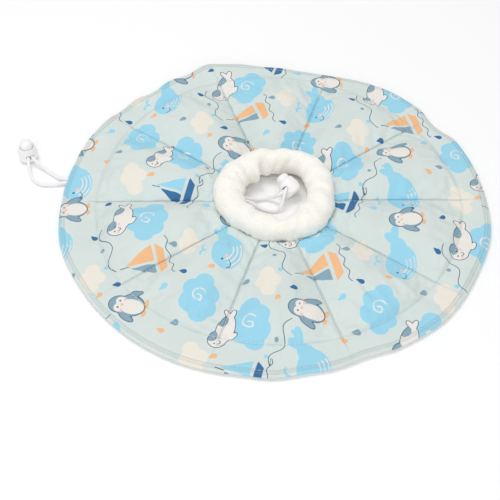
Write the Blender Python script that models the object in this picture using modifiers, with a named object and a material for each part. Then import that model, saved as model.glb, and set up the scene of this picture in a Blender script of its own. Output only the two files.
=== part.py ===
"""Soft padded recovery collar, lying flat, with a fleece neck cuff and two drawcords.

Metres, +Z up. The collar rests on z = 0. Lengths are worked out in the neck's frame, whose
Z axis runs through the middle of the neck hole. One empty then carries every piece, so that
the origin is the middle of the collar's outline, at the height of the table.
"""
import math
from collections import namedtuple

import bpy
import bmesh
from mathutils import Matrix, Vector

# Driving sizes, in metres
NECK_SEAM_RADIUS = 0.0425
COLLAR_DEPTH = 0.125
BAND_WIDTH = 0.0243
PAD_COUNT = 10
FIRST_SEAM_DEG = 180.46
PAD_PUFF = 0.0080
SEAM_HEIGHT = 0.0038
SEAM_THICKNESS = 0.0020
RIM_LIFT = 0.0130
RIM_WAVE = 0.0015

CUFF_HOLE_RADIUS = 0.0242
CUFF_OUTER_RADIUS = 0.0470
CUFF_HEIGHT = 0.0228
CUFF_BASE_LIFT = 0.0012
CUFF_GATHER = 0.0009
CUFF_GATHERS = 15

CLOTH_THICKNESS = 0.00095
CORD_DIAMETER = 0.0028
GAP = 0.0003

LOCK_RADIUS = 0.0078
LOCK_MOUTH_RADIUS = 0.0066
LOCK_HEIGHT = 0.0134
LOCK_FLOOR = 0.0012
BUTTON_RADIUS = 0.0052
BUTTON_RISE = 0.0053
BUTTON_FLOOR = 0.0012
BUTTON_TRAVEL = 0.0025
KNOT_RADIUS = 0.0027
KNOT_LENGTH = 0.0032

# Sizes that follow from them
COLLAR_RADIUS = NECK_SEAM_RADIUS + COLLAR_DEPTH
RING_RADIUS = COLLAR_RADIUS - BAND_WIDTH
CASING_HALF = CORD_DIAMETER / 2 + GAP + CLOTH_THICKNESS
LANE = (CORD_DIAMETER + GAP) / 2
SLOT_WIDTH = 2 * CORD_DIAMETER + 3 * GAP
SEAM_TOP = SEAM_HEIGHT + SEAM_THICKNESS / 2
BORE_BOTTOM = LOCK_FLOOR + GAP + BUTTON_TRAVEL + BUTTON_FLOOR
BORE_HEIGHT = BORE_BOTTOM + GAP + CORD_DIAMETER / 2

# Folds: where each lies round the collar, how wide it is, how far it moves the edge outward
# and up. Outward is a share of the radius that it changes, up a share of RIM_LIFT.
Fold = namedtuple("Fold", "angle width outward up")
RIM_FOLDS = (
    Fold(angle=147, width=9, outward=-0.022, up=0.12),
    Fold(angle=115, width=17, outward=0.000, up=0.85),
    Fold(angle=105, width=7, outward=0.012, up=0.32),
    Fold(angle=74, width=17, outward=-0.055, up=0.00),
    Fold(angle=36, width=4, outward=-0.028, up=0.00),
    Fold(angle=20, width=12, outward=-0.014, up=0.00),
    Fold(angle=-31, width=9, outward=0.018, up=0.00),
    Fold(angle=-67, width=8, outward=-0.034, up=0.00),
    Fold(angle=-91, width=6, outward=0.018, up=0.00),
    Fold(angle=-165, width=9, outward=0.012, up=0.00),
)
RING_FOLDS = (
    Fold(angle=108, width=45, outward=0.050, up=0.00),
    Fold(angle=0, width=20, outward=0.014, up=0.00),
    Fold(angle=-90, width=40, outward=-0.026, up=0.00),
    Fold(angle=180, width=25, outward=-0.022, up=0.00),
)
HOLE_FOLDS = (
    Fold(angle=130, width=9, outward=-0.17, up=0.00),
    Fold(angle=112, width=8, outward=0.13, up=0.00),
    Fold(angle=60, width=24, outward=0.19, up=0.00),
    Fold(angle=-5, width=14, outward=-0.04, up=0.00),
    Fold(angle=-42, width=13, outward=-0.12, up=0.00),
    Fold(angle=-81, width=10, outward=0.18, up=0.00),
    Fold(angle=-132, width=13, outward=-0.11, up=0.00),
)
WAVE_COUNT = 30
WAVE_WINDOW = Fold(angle=125, width=32, outward=1.0, up=0.0)

# The cuff leans: shares by which its far side is taller and its near side lower, and how much
# its outer radius grows to the far side
CUFF_LEAN = 0.158
CUFF_FAR_GROWTH = 0.035

# Where the loft's stations lie across one pad, and its rows from the neck edge to the ring
PAD_STATIONS = (-1.0, -0.9, -0.7, -0.46, -0.22, 0.0, 0.22, 0.46, 0.7, 0.9)
TOP_ROWS = (0.0, 0.05, 0.15, 0.4, 0.7, 0.92, 1.0)
UNDER_ROWS = (1.0, 0.92, 0.5, 0.1, 0.0)

# The casing's section: across is the share of the band's width from the ring seam to the rim,
# half is the share of CASING_HALF above and below its middle
Rib = namedtuple("Rib", "across half")
CASING_SKIN = (Rib(0.0, 0.377), Rib(0.56, 1.0), Rib(0.90, 1.0), Rib(1.0, 0.35))
TUNNEL_START = 0.2
TUNNEL_FULL = 0.56
TUNNEL_END = 0.90
CORD_ACROSS = 0.735

TURNED_SIDES = 20
CUFF_STATIONS = 60
CUFF_SIDES = 12
CHANNEL_INSET = 0.0084
CHANNEL_DROP = 0.49

# Exits of the two cords, as angles round the neck axis
RIM_EXIT_DEG = 171.9
NECK_EXIT_DEG = 180.0

# Routes of the free strands, as steps from the middle of their exit. A is the near strand.
RIM_ROUTE_A = (
    (-0.0041, -0.0017, -0.0004), (-0.0086, -0.0025, -0.0010), (-0.0134, -0.0030, -0.0012),
    (-0.0176, -0.0029, -0.0012), (-0.0216, -0.0022, -0.0012), (-0.0252, -0.0002, -0.0012),
    (-0.0284, 0.0031, -0.0011), (-0.0306, 0.0072, -0.0007), (-0.0321, 0.0116, 0.0004),
    (-0.0331, 0.0155, 0.0018), (-0.0338, 0.0189, 0.0034),
)
RIM_ROUTE_B = (
    (-0.0032, 0.0023, -0.0003), (-0.0072, 0.0045, -0.0009), (-0.0116, 0.0074, -0.0012),
    (-0.0154, 0.0103, -0.0011), (-0.0191, 0.0132, -0.0005), (-0.0225, 0.0160, 0.0006),
    (-0.0258, 0.0184, 0.0019), (-0.0286, 0.0205, 0.0032),
)
NECK_ROUTE_A = (
    (0.0030, -0.0016, -0.0008), (0.0060, -0.0018, -0.0025), (0.0091, -0.0025, -0.0042),
    (0.0124, -0.0041, -0.0054), (0.0158, -0.0060, -0.0056), (0.0198, -0.0077, -0.0056),
    (0.0240, -0.0083, -0.0056), (0.0277, -0.0073, -0.0046), (0.0302, -0.0048, -0.0019),
    (0.0315, -0.0018, 0.0019), (0.0322, 0.0008, 0.0047),
)
NECK_ROUTE_B = (
    (0.0030, 0.0017, -0.0008), (0.0061, 0.0023, -0.0025), (0.0095, 0.0033, -0.0040),
    (0.0134, 0.0046, -0.0049), (0.0174, 0.0053, -0.0050), (0.0214, 0.0047, -0.0037),
    (0.0249, 0.0030, -0.0008), (0.0275, 0.0015, 0.0022), (0.0293, 0.0013, 0.0039),
)

# Where the locks lie: the middle of each base as a step from its cord's exit (the height
# follows from how it rests), the way its button points and the way its bore's mouth faces
RIM_LOCK_STEP = (-0.0356, 0.0294)
RIM_LOCK_AXIS = Vector((0.0, 0.0, 1.0))
RIM_LOCK_MOUTH = Vector((0.4226, -0.9063, 0.0))
NECK_LOCK_STEP = (0.0405, 0.0068)
NECK_LOCK_AXIS = Vector((-0.62, 0.62, 0.48))
NECK_LOCK_MOUTH = Vector((-0.449, -0.808, 0.38))

Look = namedtuple("Look", "color roughness")
LOOKS = {
    "printed_cloth": Look((0.70, 0.82, 0.80, 1), 0.85),
    "band_cloth": Look((0.66, 0.80, 0.79, 1), 0.85),
    "fleece": Look((0.92, 0.89, 0.83, 1), 0.95),
    "cord": Look((0.86, 0.84, 0.86, 1), 0.8),
    "plastic": Look((0.82, 0.80, 0.79, 1), 0.4),
    "button": Look((0.86, 0.84, 0.83, 1), 0.35),
}


def clear_scene():
    """Remove the objects of the start-up scene."""
    for thing in list(bpy.data.objects):
        bpy.data.objects.remove(thing, do_unlink=True)


def new_collection(name):
    """Make a collection in the scene."""
    made = bpy.data.collections.new(name)
    bpy.context.scene.collection.children.link(made)
    return made


clear_scene()
COLLAR = new_collection("recovery_collar")
CUTTERS = new_collection("cutters")


def material(name):
    """Make the plain material of one finish, once."""
    found = bpy.data.materials.get(name)
    if found:
        return found
    made = bpy.data.materials.new(name)
    made.use_nodes = True
    shader = made.node_tree.nodes["Principled BSDF"]
    shader.inputs["Base Color"].default_value = LOOKS[name].color
    shader.inputs["Roughness"].default_value = LOOKS[name].roughness
    return made


def add_piece(name, mesh, look, parent):
    """Add a mesh as a named piece of the collar."""
    piece = bpy.data.objects.new(name, mesh)
    mesh.materials.append(material(look))
    COLLAR.objects.link(piece)
    piece.parent = parent
    return piece


def add_cutter(name, mesh, parent):
    """Add a mesh that only cuts."""
    cutter = bpy.data.objects.new(name, mesh)
    CUTTERS.objects.link(cutter)
    cutter.parent = parent
    cutter.hide_render = True
    cutter.display_type = "WIRE"
    return cutter


def cut(piece, cutter):
    """Cut a piece with a Boolean difference."""
    modifier = piece.modifiers.new(cutter.name, "BOOLEAN")
    modifier.operation = "DIFFERENCE"
    modifier.solver = "EXACT"
    modifier.object = cutter
    return modifier


def ring_loft(name, stations):
    """Join closed sections, one for each station round the neck, into a closed ring."""
    mesh = bpy.data.meshes.new(name)
    made = bmesh.new()
    rows = [[made.verts.new(point) for point in section] for section in stations]
    for row, following in zip(rows, rows[1:] + rows[:1]):
        for index in range(len(row)):
            after = (index + 1) % len(row)
            made.faces.new((row[index], row[after], following[after], following[index]))
    bmesh.ops.recalc_face_normals(made, faces=made.faces)
    made.to_mesh(mesh)
    made.free()
    return mesh


def box_mesh(name, size):
    """Make a box about its own middle."""
    mesh = bpy.data.meshes.new(name)
    made = bmesh.new()
    bmesh.ops.create_cube(made, size=1.0)
    bmesh.ops.scale(made, vec=size, verts=made.verts)
    made.to_mesh(mesh)
    made.free()
    return mesh


def fold_share(fold, angle):
    """How much of a fold is felt at an angle in degrees, from 0 to 1."""
    away = (angle - fold.angle + 180) % 360 - 180
    return math.exp(-((away / fold.width) ** 2))


def folded(radius, folds, angle):
    """A radius with its folds, at an angle in degrees."""
    return radius * (1 + sum(fold.outward * fold_share(fold, angle) for fold in folds))


def at(angle, radius, height):
    """A point round the neck axis."""
    turn = math.radians(angle)
    return Vector((radius * math.cos(turn), radius * math.sin(turn), height))


def rim_wave(angle):
    """Height of the small waves that the drawcord leaves in the rim."""
    window = fold_share(WAVE_WINDOW, angle)
    return RIM_WAVE * window * (1 + math.sin(math.radians(WAVE_COUNT * angle)))


def rim_radius(angle):
    """Radius of the collar's edge."""
    return folded(COLLAR_RADIUS, RIM_FOLDS, angle)


def rim_lift(angle):
    """How far the collar's edge stands off the table, without its small waves."""
    return RIM_LIFT * sum(fold.up * fold_share(fold, angle) for fold in RIM_FOLDS)


def ring_radius(angle):
    """Radius of the seam between the pads and the band."""
    return folded(RING_RADIUS, RING_FOLDS, angle)


def band_point(angle, across, above):
    """A point of the band: across from the ring seam to the rim, above its middle."""
    start = ring_radius(angle) + GAP / 2
    radius = start + across * (rim_radius(angle) - start)
    settled = min(1.0, across / TUNNEL_FULL)
    middle = SEAM_HEIGHT + (CASING_HALF - SEAM_HEIGHT) * settled
    edge = max(0.0, (across - TUNNEL_END) / (1 - TUNNEL_END))
    slope = rim_lift(angle) / (rim_radius(angle) - start)
    lift = rim_lift(angle) * across + rim_wave(angle) * edge
    return at(angle, radius, middle + lift + above * math.hypot(1, slope))


CuffSection = namedtuple("CuffSection", "middle half_width half_height height")


def cuff_section(angle):
    """The cuff's section: radius and height of its middle, and its half sizes."""
    far = math.sin(math.radians(angle))
    outer = CUFF_OUTER_RADIUS * (1 + CUFF_FAR_GROWTH * far)
    hole = folded(CUFF_HOLE_RADIUS, HOLE_FOLDS, angle)
    half_height = CUFF_HEIGHT / 2 * (1 + CUFF_LEAN * far)
    height = half_height + CUFF_BASE_LIFT * (1 + far)
    return CuffSection((outer + hole) / 2, (outer - hole) / 2, half_height, height)


def neck_edge_radius(angle):
    """Radius where the pads' inner edge meets the cuff's underside, with its gap."""
    cuff = cuff_section(angle)
    rise = (cuff.height - SEAM_TOP - GAP) / cuff.half_height
    return cuff.middle + cuff.half_width * math.sqrt(max(0.0, 1 - rise * rise)) + GAP


def station_angles():
    """Angles of the loft's stations, denser beside each radial seam."""
    pitch = 360 / PAD_COUNT
    return [
        FIRST_SEAM_DEG + pitch * (pad + (share + 1) / 2)
        for pad in range(PAD_COUNT)
        for share in PAD_STATIONS
    ]


def pad_fill(angle, along):
    """How full a pad is, from 0 at its seams to 1."""
    pitch = 360 / PAD_COUNT
    across = ((angle - FIRST_SEAM_DEG) % pitch) / pitch * 2 - 1
    sideways = max(0.0, 1 - abs(across) ** 2.4) ** 0.75
    lengthways = 1 - abs(2 * along - 1) ** 4
    return sideways * lengthways * (0.76 + 0.24 * along)


def pad_top(angle, along):
    """Height of a pad's upper side."""
    return SEAM_TOP + PAD_PUFF * pad_fill(angle, along)


def pad_under(angle, along):
    """Height of a pad's underside, flat on the table away from its seams."""
    pressed = min(1.0, 2.4 * pad_fill(angle, along))
    return (SEAM_HEIGHT - SEAM_THICKNESS / 2) * (1 - pressed)


def disc_section(angle):
    """Closed section of the padded disc at one station."""
    inner = neck_edge_radius(angle)
    outer = ring_radius(angle) - GAP / 2
    top = [at(angle, inner + t * (outer - inner), pad_top(angle, t)) for t in TOP_ROWS]
    under = [at(angle, inner + t * (outer - inner), pad_under(angle, t)) for t in UNDER_ROWS]
    return top + under


def make_disc(parent):
    """The ten quilted pads, sewn as one."""
    mesh = ring_loft("padded_disc", [disc_section(angle) for angle in station_angles()])
    return add_piece("padded_disc", mesh, "printed_cloth", parent)


def casing_section(angle):
    """Closed section of the band's outer skin."""
    top = [band_point(angle, rib.across, rib.half * CASING_HALF) for rib in CASING_SKIN]
    under = [band_point(angle, rib.across, -rib.half * CASING_HALF) for rib in CASING_SKIN]
    return top + under[::-1]


def tunnel_section(angle):
    """Closed section of the hollow between the band's two cloths."""
    half = CASING_HALF - CLOTH_THICKNESS
    corners = ((TUNNEL_START, 0.0), (TUNNEL_FULL, half), (TUNNEL_END, half),
               (TUNNEL_END, -half), (TUNNEL_FULL, -half))
    return [band_point(angle, across, above) for across, above in corners]


def rim_exit():
    """Middle of the rim cord's exit, on the rim."""
    return band_point(RIM_EXIT_DEG, 1.0, 0.0)


def make_casing(parent):
    """The hollow band round the pads, with the cord's exit cut through its edge."""
    angles = station_angles()
    casing = add_piece(
        "rim_casing",
        ring_loft("rim_casing", [casing_section(angle) for angle in angles]),
        "band_cloth",
        parent,
    )
    tunnel = ring_loft("casing_tunnel", [tunnel_section(angle) for angle in angles])
    cut(casing, add_cutter("casing_tunnel", tunnel, parent))
    slot_length = 2 * (1 - CORD_ACROSS) * BAND_WIDTH
    slot_height = 2 * (CASING_HALF - CLOTH_THICKNESS) - GAP / 3
    slot = box_mesh("casing_exit", (slot_length, SLOT_WIDTH + 4 * GAP, slot_height))
    cutter = add_cutter("casing_exit", slot, parent)
    cutter.location = rim_exit()
    cutter.rotation_euler = (0.0, 0.0, math.radians(RIM_EXIT_DEG))
    cut(casing, cutter)
    return casing


def cuff_point(angle, side):
    """A point of the cuff's skin: side runs round its section from 0 (outward) to 360."""
    cuff = cuff_section(angle)
    turn = math.radians(side)
    gathers = math.sin(math.radians(CUFF_GATHERS * angle + 40 * math.sin(3 * turn)))
    felt = (1 + math.cos(turn - math.radians(135))) / 2
    swell = 1 + (gathers - 1) * felt * CUFF_GATHER / cuff.half_width
    out = cuff.half_width * swell * math.cos(turn)
    up = cuff.half_height * swell * math.sin(turn)
    return at(angle, cuff.middle + out, cuff.height + up)


def channel_point(angle):
    """A point of the cord's ring inside the cuff."""
    cuff = cuff_section(angle)
    inner = cuff.middle - cuff.half_width
    return at(angle, inner + CHANNEL_INSET, cuff.height - CHANNEL_DROP * cuff.half_height)


def neck_exit():
    """Middle of the neck cord's exit, on the cuff's inner wall at the channel's height."""
    cuff = cuff_section(NECK_EXIT_DEG)
    reach = cuff.half_width * math.sqrt(1 - CHANNEL_DROP**2)
    return at(NECK_EXIT_DEG, cuff.middle - reach, channel_point(NECK_EXIT_DEG).z)


def catmull_rom(points, steps=16):
    """A smooth curve through hand-chosen points."""
    ends = [2 * points[0] - points[1]] + list(points) + [2 * points[-1] - points[-2]]
    curve = []
    for a, b, c, d in zip(ends, ends[1:], ends[2:], ends[3:]):
        for step in range(steps):
            t = step / steps
            curve.append(
                0.5 * (2 * b + (c - a) * t + (2 * a - 5 * b + 4 * c - d) * t**2
                       + (3 * b - a - 3 * c + d) * t**3)
            )
    return curve + [points[-1]]


def spaced(curve, spacing):
    """Points of a curve at even steps of about the spacing."""
    lengths = [0.0]
    for a, b in zip(curve, curve[1:]):
        lengths.append(lengths[-1] + (b - a).length)
    count = max(2, round(lengths[-1] / spacing))
    chosen = []
    index = 0
    for step in range(count + 1):
        wanted = lengths[-1] * step / count
        while index < len(curve) - 2 and lengths[index + 1] < wanted:
            index += 1
        span = lengths[index + 1] - lengths[index]
        chosen.append(curve[index].lerp(curve[index + 1], (wanted - lengths[index]) / span))
    return chosen


def tube_curve(name, points, diameter):
    """A round tube through points, as a curve with filled caps."""
    data = bpy.data.curves.new(name, "CURVE")
    data.dimensions = "3D"
    data.bevel_depth = diameter / 2
    data.bevel_resolution = 2
    data.use_fill_caps = True
    spline = data.splines.new("POLY")
    spline.points.add(len(points) - 1)
    for slot, point in zip(spline.points, points):
        slot.co = (*point, 1.0)
    return data


def make_cord(name, points, parent):
    """A stretch of cord through its points."""
    data = tube_curve(name, points, CORD_DIAMETER)
    data.materials.append(material("cord"))
    cord = bpy.data.objects.new(name, data)
    COLLAR.objects.link(cord)
    cord.parent = parent
    return cord


def tube_mesh(name, points, diameter):
    """The same tube as a closed mesh, for cutting."""
    curve = bpy.data.objects.new(name + "_curve", tube_curve(name, points, diameter))
    CUTTERS.objects.link(curve)
    graph = bpy.context.evaluated_depsgraph_get()
    mesh = bpy.data.meshes.new_from_object(curve.evaluated_get(graph))
    bpy.data.objects.remove(curve, do_unlink=True)
    made = bmesh.new()
    made.from_mesh(mesh)
    bmesh.ops.remove_doubles(made, verts=made.verts, dist=0.00001)
    bmesh.ops.recalc_face_normals(made, faces=made.faces)
    made.to_mesh(mesh)
    made.free()
    return mesh


def cord_end(exit_point, out, along, depth):
    """One end of a hidden cord: straight in at the exit, then a quarter turn along the ring."""
    radius = 0.85 * depth
    straight = exit_point - out * (GAP / 2) + along * LANE
    turn = [
        exit_point
        - out * (depth - radius + radius * math.sin(math.radians(angle)))
        + along * (LANE + radius * (1 - math.cos(math.radians(angle))))
        for angle in (0, 30, 60)
    ]
    return [straight] + turn


def ring_route(exit_point, exit_angle, outward, ring_point, angles):
    """A cord's way inside its casing: in at the exit, all the way round, out again."""
    out = at(exit_angle, outward, 0.0)
    along = at(exit_angle + 90, 1.0, 0.0)
    reach = ring_point(exit_angle) - exit_point
    depth = abs(reach.dot(out))
    drop = Vector((0.0, 0.0, reach.z))
    turned = math.degrees((LANE + 1.1 * depth) / ring_point(exit_angle).xy.length)
    steps = sorted((angle - exit_angle) % 360 for angle in angles)
    ring = [
        ring_point(exit_angle + step) for step in steps if turned < step < 360 - turned
    ]
    entry = cord_end(exit_point, out, along, depth)
    leave = cord_end(exit_point, out, -along, depth)
    entry = [point + drop * index / len(entry) for index, point in enumerate(entry)]
    leave = [point + drop * index / len(leave) for index, point in enumerate(leave)]
    return entry + ring + leave[::-1]


def rim_ring_point(angle):
    """A point of the cord's ring inside the band."""
    return band_point(angle, CORD_ACROSS, 0.0)


def rim_inner_points():
    """The rim cord's way inside the band, at the band's own stations."""
    angles = [
        angle for index, angle in enumerate(station_angles())
        if abs(PAD_STATIONS[index % len(PAD_STATIONS)]) != 0.9
    ]
    return ring_route(rim_exit(), RIM_EXIT_DEG, 1.0, rim_ring_point, angles)


def neck_inner_points():
    """The neck cord's way inside the cuff, at every second station of the cuff."""
    angles = [360 * index / CUFF_STATIONS for index in range(0, CUFF_STATIONS, 2)]
    return ring_route(neck_exit(), NECK_EXIT_DEG, -1.0, channel_point, angles)


def make_cuff(parent):
    """The fleece cuff with the channel of its cord."""
    stations = [
        [cuff_point(360 * index / CUFF_STATIONS, 360 * side / CUFF_SIDES)
         for side in range(CUFF_SIDES)]
        for index in range(CUFF_STATIONS)
    ]
    cuff = add_piece("neck_cuff", ring_loft("neck_cuff", stations), "fleece", parent)
    width = CORD_DIAMETER + 2 * GAP
    way_out = at(NECK_EXIT_DEG, -2 * width, 0.0)
    points = neck_inner_points()
    points = [points[0] + way_out] + points + [points[-1] + way_out]
    channel = add_cutter("cuff_channel", tube_mesh("cuff_channel", points, width), parent)
    # The channel's two ends share one slot, so the cutter crosses itself there
    cut(cuff, channel).use_self = True
    return cuff


def add_turned(name, profile, look, parent):
    """Add a turned solid: a profile of (radius, height) spun about the piece's own Z axis."""
    mesh = bpy.data.meshes.new(name)
    points = [(radius, 0.0, height) for radius, height in profile]
    mesh.from_pydata(points, [(i, i + 1) for i in range(len(points) - 1)], [])
    piece = add_piece(name, mesh, look, parent)
    screw = piece.modifiers.new("turned", "SCREW")
    screw.steps = TURNED_SIDES
    screw.render_steps = TURNED_SIDES
    screw.use_merge_vertices = True
    screw.merge_threshold = 0.00001
    return piece


def lock_profile():
    """The lock body's profile, from its cavity's floor over the mouth and down outside."""
    cavity = BUTTON_RADIUS + GAP
    return (
        (0.0, LOCK_FLOOR),
        (cavity, LOCK_FLOOR),
        (cavity, LOCK_HEIGHT - GAP),
        (cavity + GAP, LOCK_HEIGHT),
        (LOCK_MOUTH_RADIUS - GAP, LOCK_HEIGHT),
        (LOCK_MOUTH_RADIUS, LOCK_HEIGHT - GAP),
        (0.93 * LOCK_RADIUS, 0.80 * LOCK_HEIGHT),
        (LOCK_RADIUS, 0.60 * LOCK_HEIGHT),
        (LOCK_RADIUS, 0.33 * LOCK_HEIGHT),
        (0.93 * LOCK_RADIUS, 0.13 * LOCK_HEIGHT),
        (0.80 * LOCK_RADIUS, 0.03 * LOCK_HEIGHT),
        (0.62 * LOCK_RADIUS, 0.0),
        (0.0, 0.0),
    )


def button_profile():
    """The button's profile, from the top of its dome down its side to its foot."""
    top = LOCK_HEIGHT + BUTTON_RISE
    shoulder = LOCK_HEIGHT + 0.35 * BUTTON_RISE
    dome = top - shoulder
    return (
        (0.0, top),
        (0.50 * BUTTON_RADIUS, shoulder + 0.93 * dome),
        (0.80 * BUTTON_RADIUS, shoulder + 0.67 * dome),
        (0.95 * BUTTON_RADIUS, shoulder + 0.36 * dome),
        (BUTTON_RADIUS, shoulder),
        (BUTTON_RADIUS, LOCK_FLOOR + GAP + BUTTON_TRAVEL),
        (0.0, LOCK_FLOOR + GAP + BUTTON_TRAVEL),
    )


def resting_height(axis):
    """How high the base's middle is when a lock with this axis touches the table."""
    flat = math.sqrt(max(0.0, 1 - axis.z**2))
    return -min(height * axis.z - radius * flat for radius, height in lock_profile())


def lock_matrix(exit_point, step, axis, mouth):
    """Place of a lock: its base's middle, its button's way up, its bore along Y."""
    up = axis.normalized()
    inward = (-mouth + up * mouth.dot(up)).normalized()
    side = inward.cross(up)
    turn = Matrix((side, inward, up)).transposed().to_4x4()
    base = Vector((exit_point.x + step[0], exit_point.y + step[1], resting_height(up)))
    return Matrix.Translation(base) @ turn


def bore(name, piece, bottom, top, parent):
    """Cut the flat bore for two strands side by side through a piece."""
    mesh = box_mesh(name, (SLOT_WIDTH, 4 * LOCK_RADIUS, top - bottom))
    cutter = add_cutter(name, mesh, parent)
    cutter.location = (0.0, 0.0, (top + bottom) / 2)
    cut(piece, cutter)


def make_lock(prefix, place, parent):
    """A cord lock: its body, its sprung button and the knot behind it."""
    frame = bpy.data.objects.new(prefix + "_lock", None)
    COLLAR.objects.link(frame)
    frame.parent = parent
    frame.matrix_local = place
    body = add_turned(prefix + "_lock_body", lock_profile(), "plastic", frame)
    button = add_turned(prefix + "_lock_button", button_profile(), "button", frame)
    cord_top = BORE_HEIGHT + CORD_DIAMETER / 2
    bore(prefix + "_body_bore", body, BORE_BOTTOM, cord_top + 2 * GAP, frame)
    bore(prefix + "_button_bore", button, BORE_BOTTOM, cord_top + GAP + BUTTON_TRAVEL, frame)
    make_knot(prefix + "_cord_knot", frame)


def knot_start():
    """How far from the lock's axis the knot's near face is."""
    return LOCK_RADIUS + GAP


def make_knot(name, parent):
    """The knot that joins the strands' ends behind the lock."""
    mesh = bpy.data.meshes.new(name)
    made = bmesh.new()
    bmesh.ops.create_cone(
        made, cap_ends=True, segments=14, radius1=KNOT_RADIUS, radius2=KNOT_RADIUS,
        depth=KNOT_LENGTH, matrix=Matrix.Rotation(math.radians(90), 4, "X"),
    )
    far = [edge for edge in made.edges if all(v.co.y > 0 for v in edge.verts)]
    bmesh.ops.bevel(made, geom=far, offset=0.3 * KNOT_LENGTH, segments=2, affect="EDGES")
    made.to_mesh(mesh)
    made.free()
    knot = add_piece(name, mesh, "cord", parent)
    knot.location = (0.0, knot_start() + KNOT_LENGTH / 2, BORE_HEIGHT)


def strand_route(exit_point, exit_out, lane_along, steps, place, lane_side):
    """A free strand: out of its exit, along its steps, through the bore to the knot."""
    start = exit_point + exit_out * (GAP / 2) + lane_along
    straight = start + exit_out * (CORD_DIAMETER / 2)
    walk = [exit_point + Vector(step) for step in steps]
    through = [
        place @ Vector((lane_side * LANE, reach, BORE_HEIGHT))
        for reach in (-LOCK_RADIUS, -LOCK_RADIUS / 2, 0.0, LOCK_RADIUS / 2, knot_start() - GAP)
    ]
    return [start, straight] + walk + through


def make_strands(prefix, exit_point, exit_angle, outward, routes, place, near_lane, parent):
    """The two free strands of a cord; near_lane is strand A's side of the bore."""
    out = at(exit_angle, outward, 0.0)
    along = at(exit_angle + 90, LANE, 0.0)
    for letter, steps, side in (("a", routes[0], 1.0), ("b", routes[1], -1.0)):
        lane = side * near_lane
        route = strand_route(exit_point, out, side * along, steps, place, lane)
        points = route[:1] + spaced(catmull_rom(route[1:]), 1.8 * CORD_DIAMETER)
        make_cord(f"{prefix}_cord_{letter}", points, parent)


def outline_middle():
    """Middle of the box round the collar's outline."""
    edge = [band_point(angle, 1.0, 0.0) for angle in station_angles()]
    x = [point.x for point in edge]
    y = [point.y for point in edge]
    return Vector(((min(x) + max(x)) / 2, (min(y) + max(y)) / 2, 0.0))


def make_collar():
    """Every piece, carried by one empty at the neck's axis."""
    neck = bpy.data.objects.new("neck_axis", None)
    COLLAR.objects.link(neck)
    neck.location = -outline_middle()
    make_disc(neck)
    make_casing(neck)
    make_cuff(neck)
    make_cord("rim_cord_inner", rim_inner_points(), neck)
    make_cord("neck_cord_inner", neck_inner_points(), neck)
    rim_place = lock_matrix(rim_exit(), RIM_LOCK_STEP, RIM_LOCK_AXIS, RIM_LOCK_MOUTH)
    neck_place = lock_matrix(neck_exit(), NECK_LOCK_STEP, NECK_LOCK_AXIS, NECK_LOCK_MOUTH)
    make_lock("rim", rim_place, neck)
    make_lock("neck", neck_place, neck)
    make_strands("rim", rim_exit(), RIM_EXIT_DEG, 1.0, (RIM_ROUTE_A, RIM_ROUTE_B),
                 rim_place, -1.0, neck)
    make_strands("neck", neck_exit(), NECK_EXIT_DEG, -1.0, (NECK_ROUTE_A, NECK_ROUTE_B),
                 neck_place, 1.0, neck)


make_collar()
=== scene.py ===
"""Looks of the soft padded recovery collar: printed cloth pads, hemmed band, fleece cuff,
braided drawcords with their push-button locks, soft studio light and the camera.

Metres, +Z up. Shapes are worked out in the neck's frame, whose Z axis runs through the middle
of the neck hole, and then moved by -outline_middle() into the frame of the CAD model.
"""

import math
from collections import namedtuple

import bmesh
import bpy
import numpy as np
from mathutils import Matrix, Vector


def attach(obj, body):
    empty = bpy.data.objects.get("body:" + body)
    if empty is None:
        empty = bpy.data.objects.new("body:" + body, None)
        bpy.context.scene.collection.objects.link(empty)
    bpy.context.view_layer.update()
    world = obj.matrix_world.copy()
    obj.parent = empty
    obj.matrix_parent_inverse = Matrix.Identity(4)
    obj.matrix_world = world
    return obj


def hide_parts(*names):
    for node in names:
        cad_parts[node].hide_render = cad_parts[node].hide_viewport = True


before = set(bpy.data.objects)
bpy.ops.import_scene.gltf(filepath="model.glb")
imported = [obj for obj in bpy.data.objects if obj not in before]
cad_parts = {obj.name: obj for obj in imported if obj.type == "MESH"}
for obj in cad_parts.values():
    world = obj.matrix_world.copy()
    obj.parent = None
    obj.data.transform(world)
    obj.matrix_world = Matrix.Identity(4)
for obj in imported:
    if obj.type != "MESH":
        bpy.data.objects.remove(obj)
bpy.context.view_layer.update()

# Driving sizes, the same as the solids'
NECK_SEAM_RADIUS = 0.0425
COLLAR_DEPTH = 0.125
BAND_WIDTH = 0.0243
PAD_COUNT = 10
FIRST_SEAM_DEG = 180.46
PAD_PUFF = 0.0080
SEAM_HEIGHT = 0.0038
SEAM_THICKNESS = 0.0020
RIM_LIFT = 0.0130
RIM_WAVE = 0.0015

CUFF_HOLE_RADIUS = 0.0242
CUFF_OUTER_RADIUS = 0.0470
CUFF_HEIGHT = 0.0228
CUFF_BASE_LIFT = 0.0012
CUFF_GATHER = 0.0009
CUFF_GATHERS = 15
CUFF_LEAN = 0.158
CUFF_FAR_GROWTH = 0.035
CUFF_LAID_RADIUS = 0.0458
CUFF_LAID_HEIGHT = 0.0224
CUFF_LAID_LEAN = 0.08
CUFF_FULLNESS = 0.4
PAD_TUCK = 0.0008
CHANNEL_DROP = 0.49

CLOTH_THICKNESS = 0.00095
CORD_DIAMETER = 0.0028
GAP = 0.0003

LOCK_RADIUS = 0.0078
LOCK_MOUTH_RADIUS = 0.0066
LOCK_HEIGHT = 0.0134
LOCK_FLOOR = 0.0012
BUTTON_RADIUS = 0.0052
BUTTON_RISE = 0.0053
BUTTON_FLOOR = 0.0012
BUTTON_TRAVEL = 0.0025
KNOT_RADIUS = 0.0027
KNOT_LENGTH = 0.0032

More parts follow.
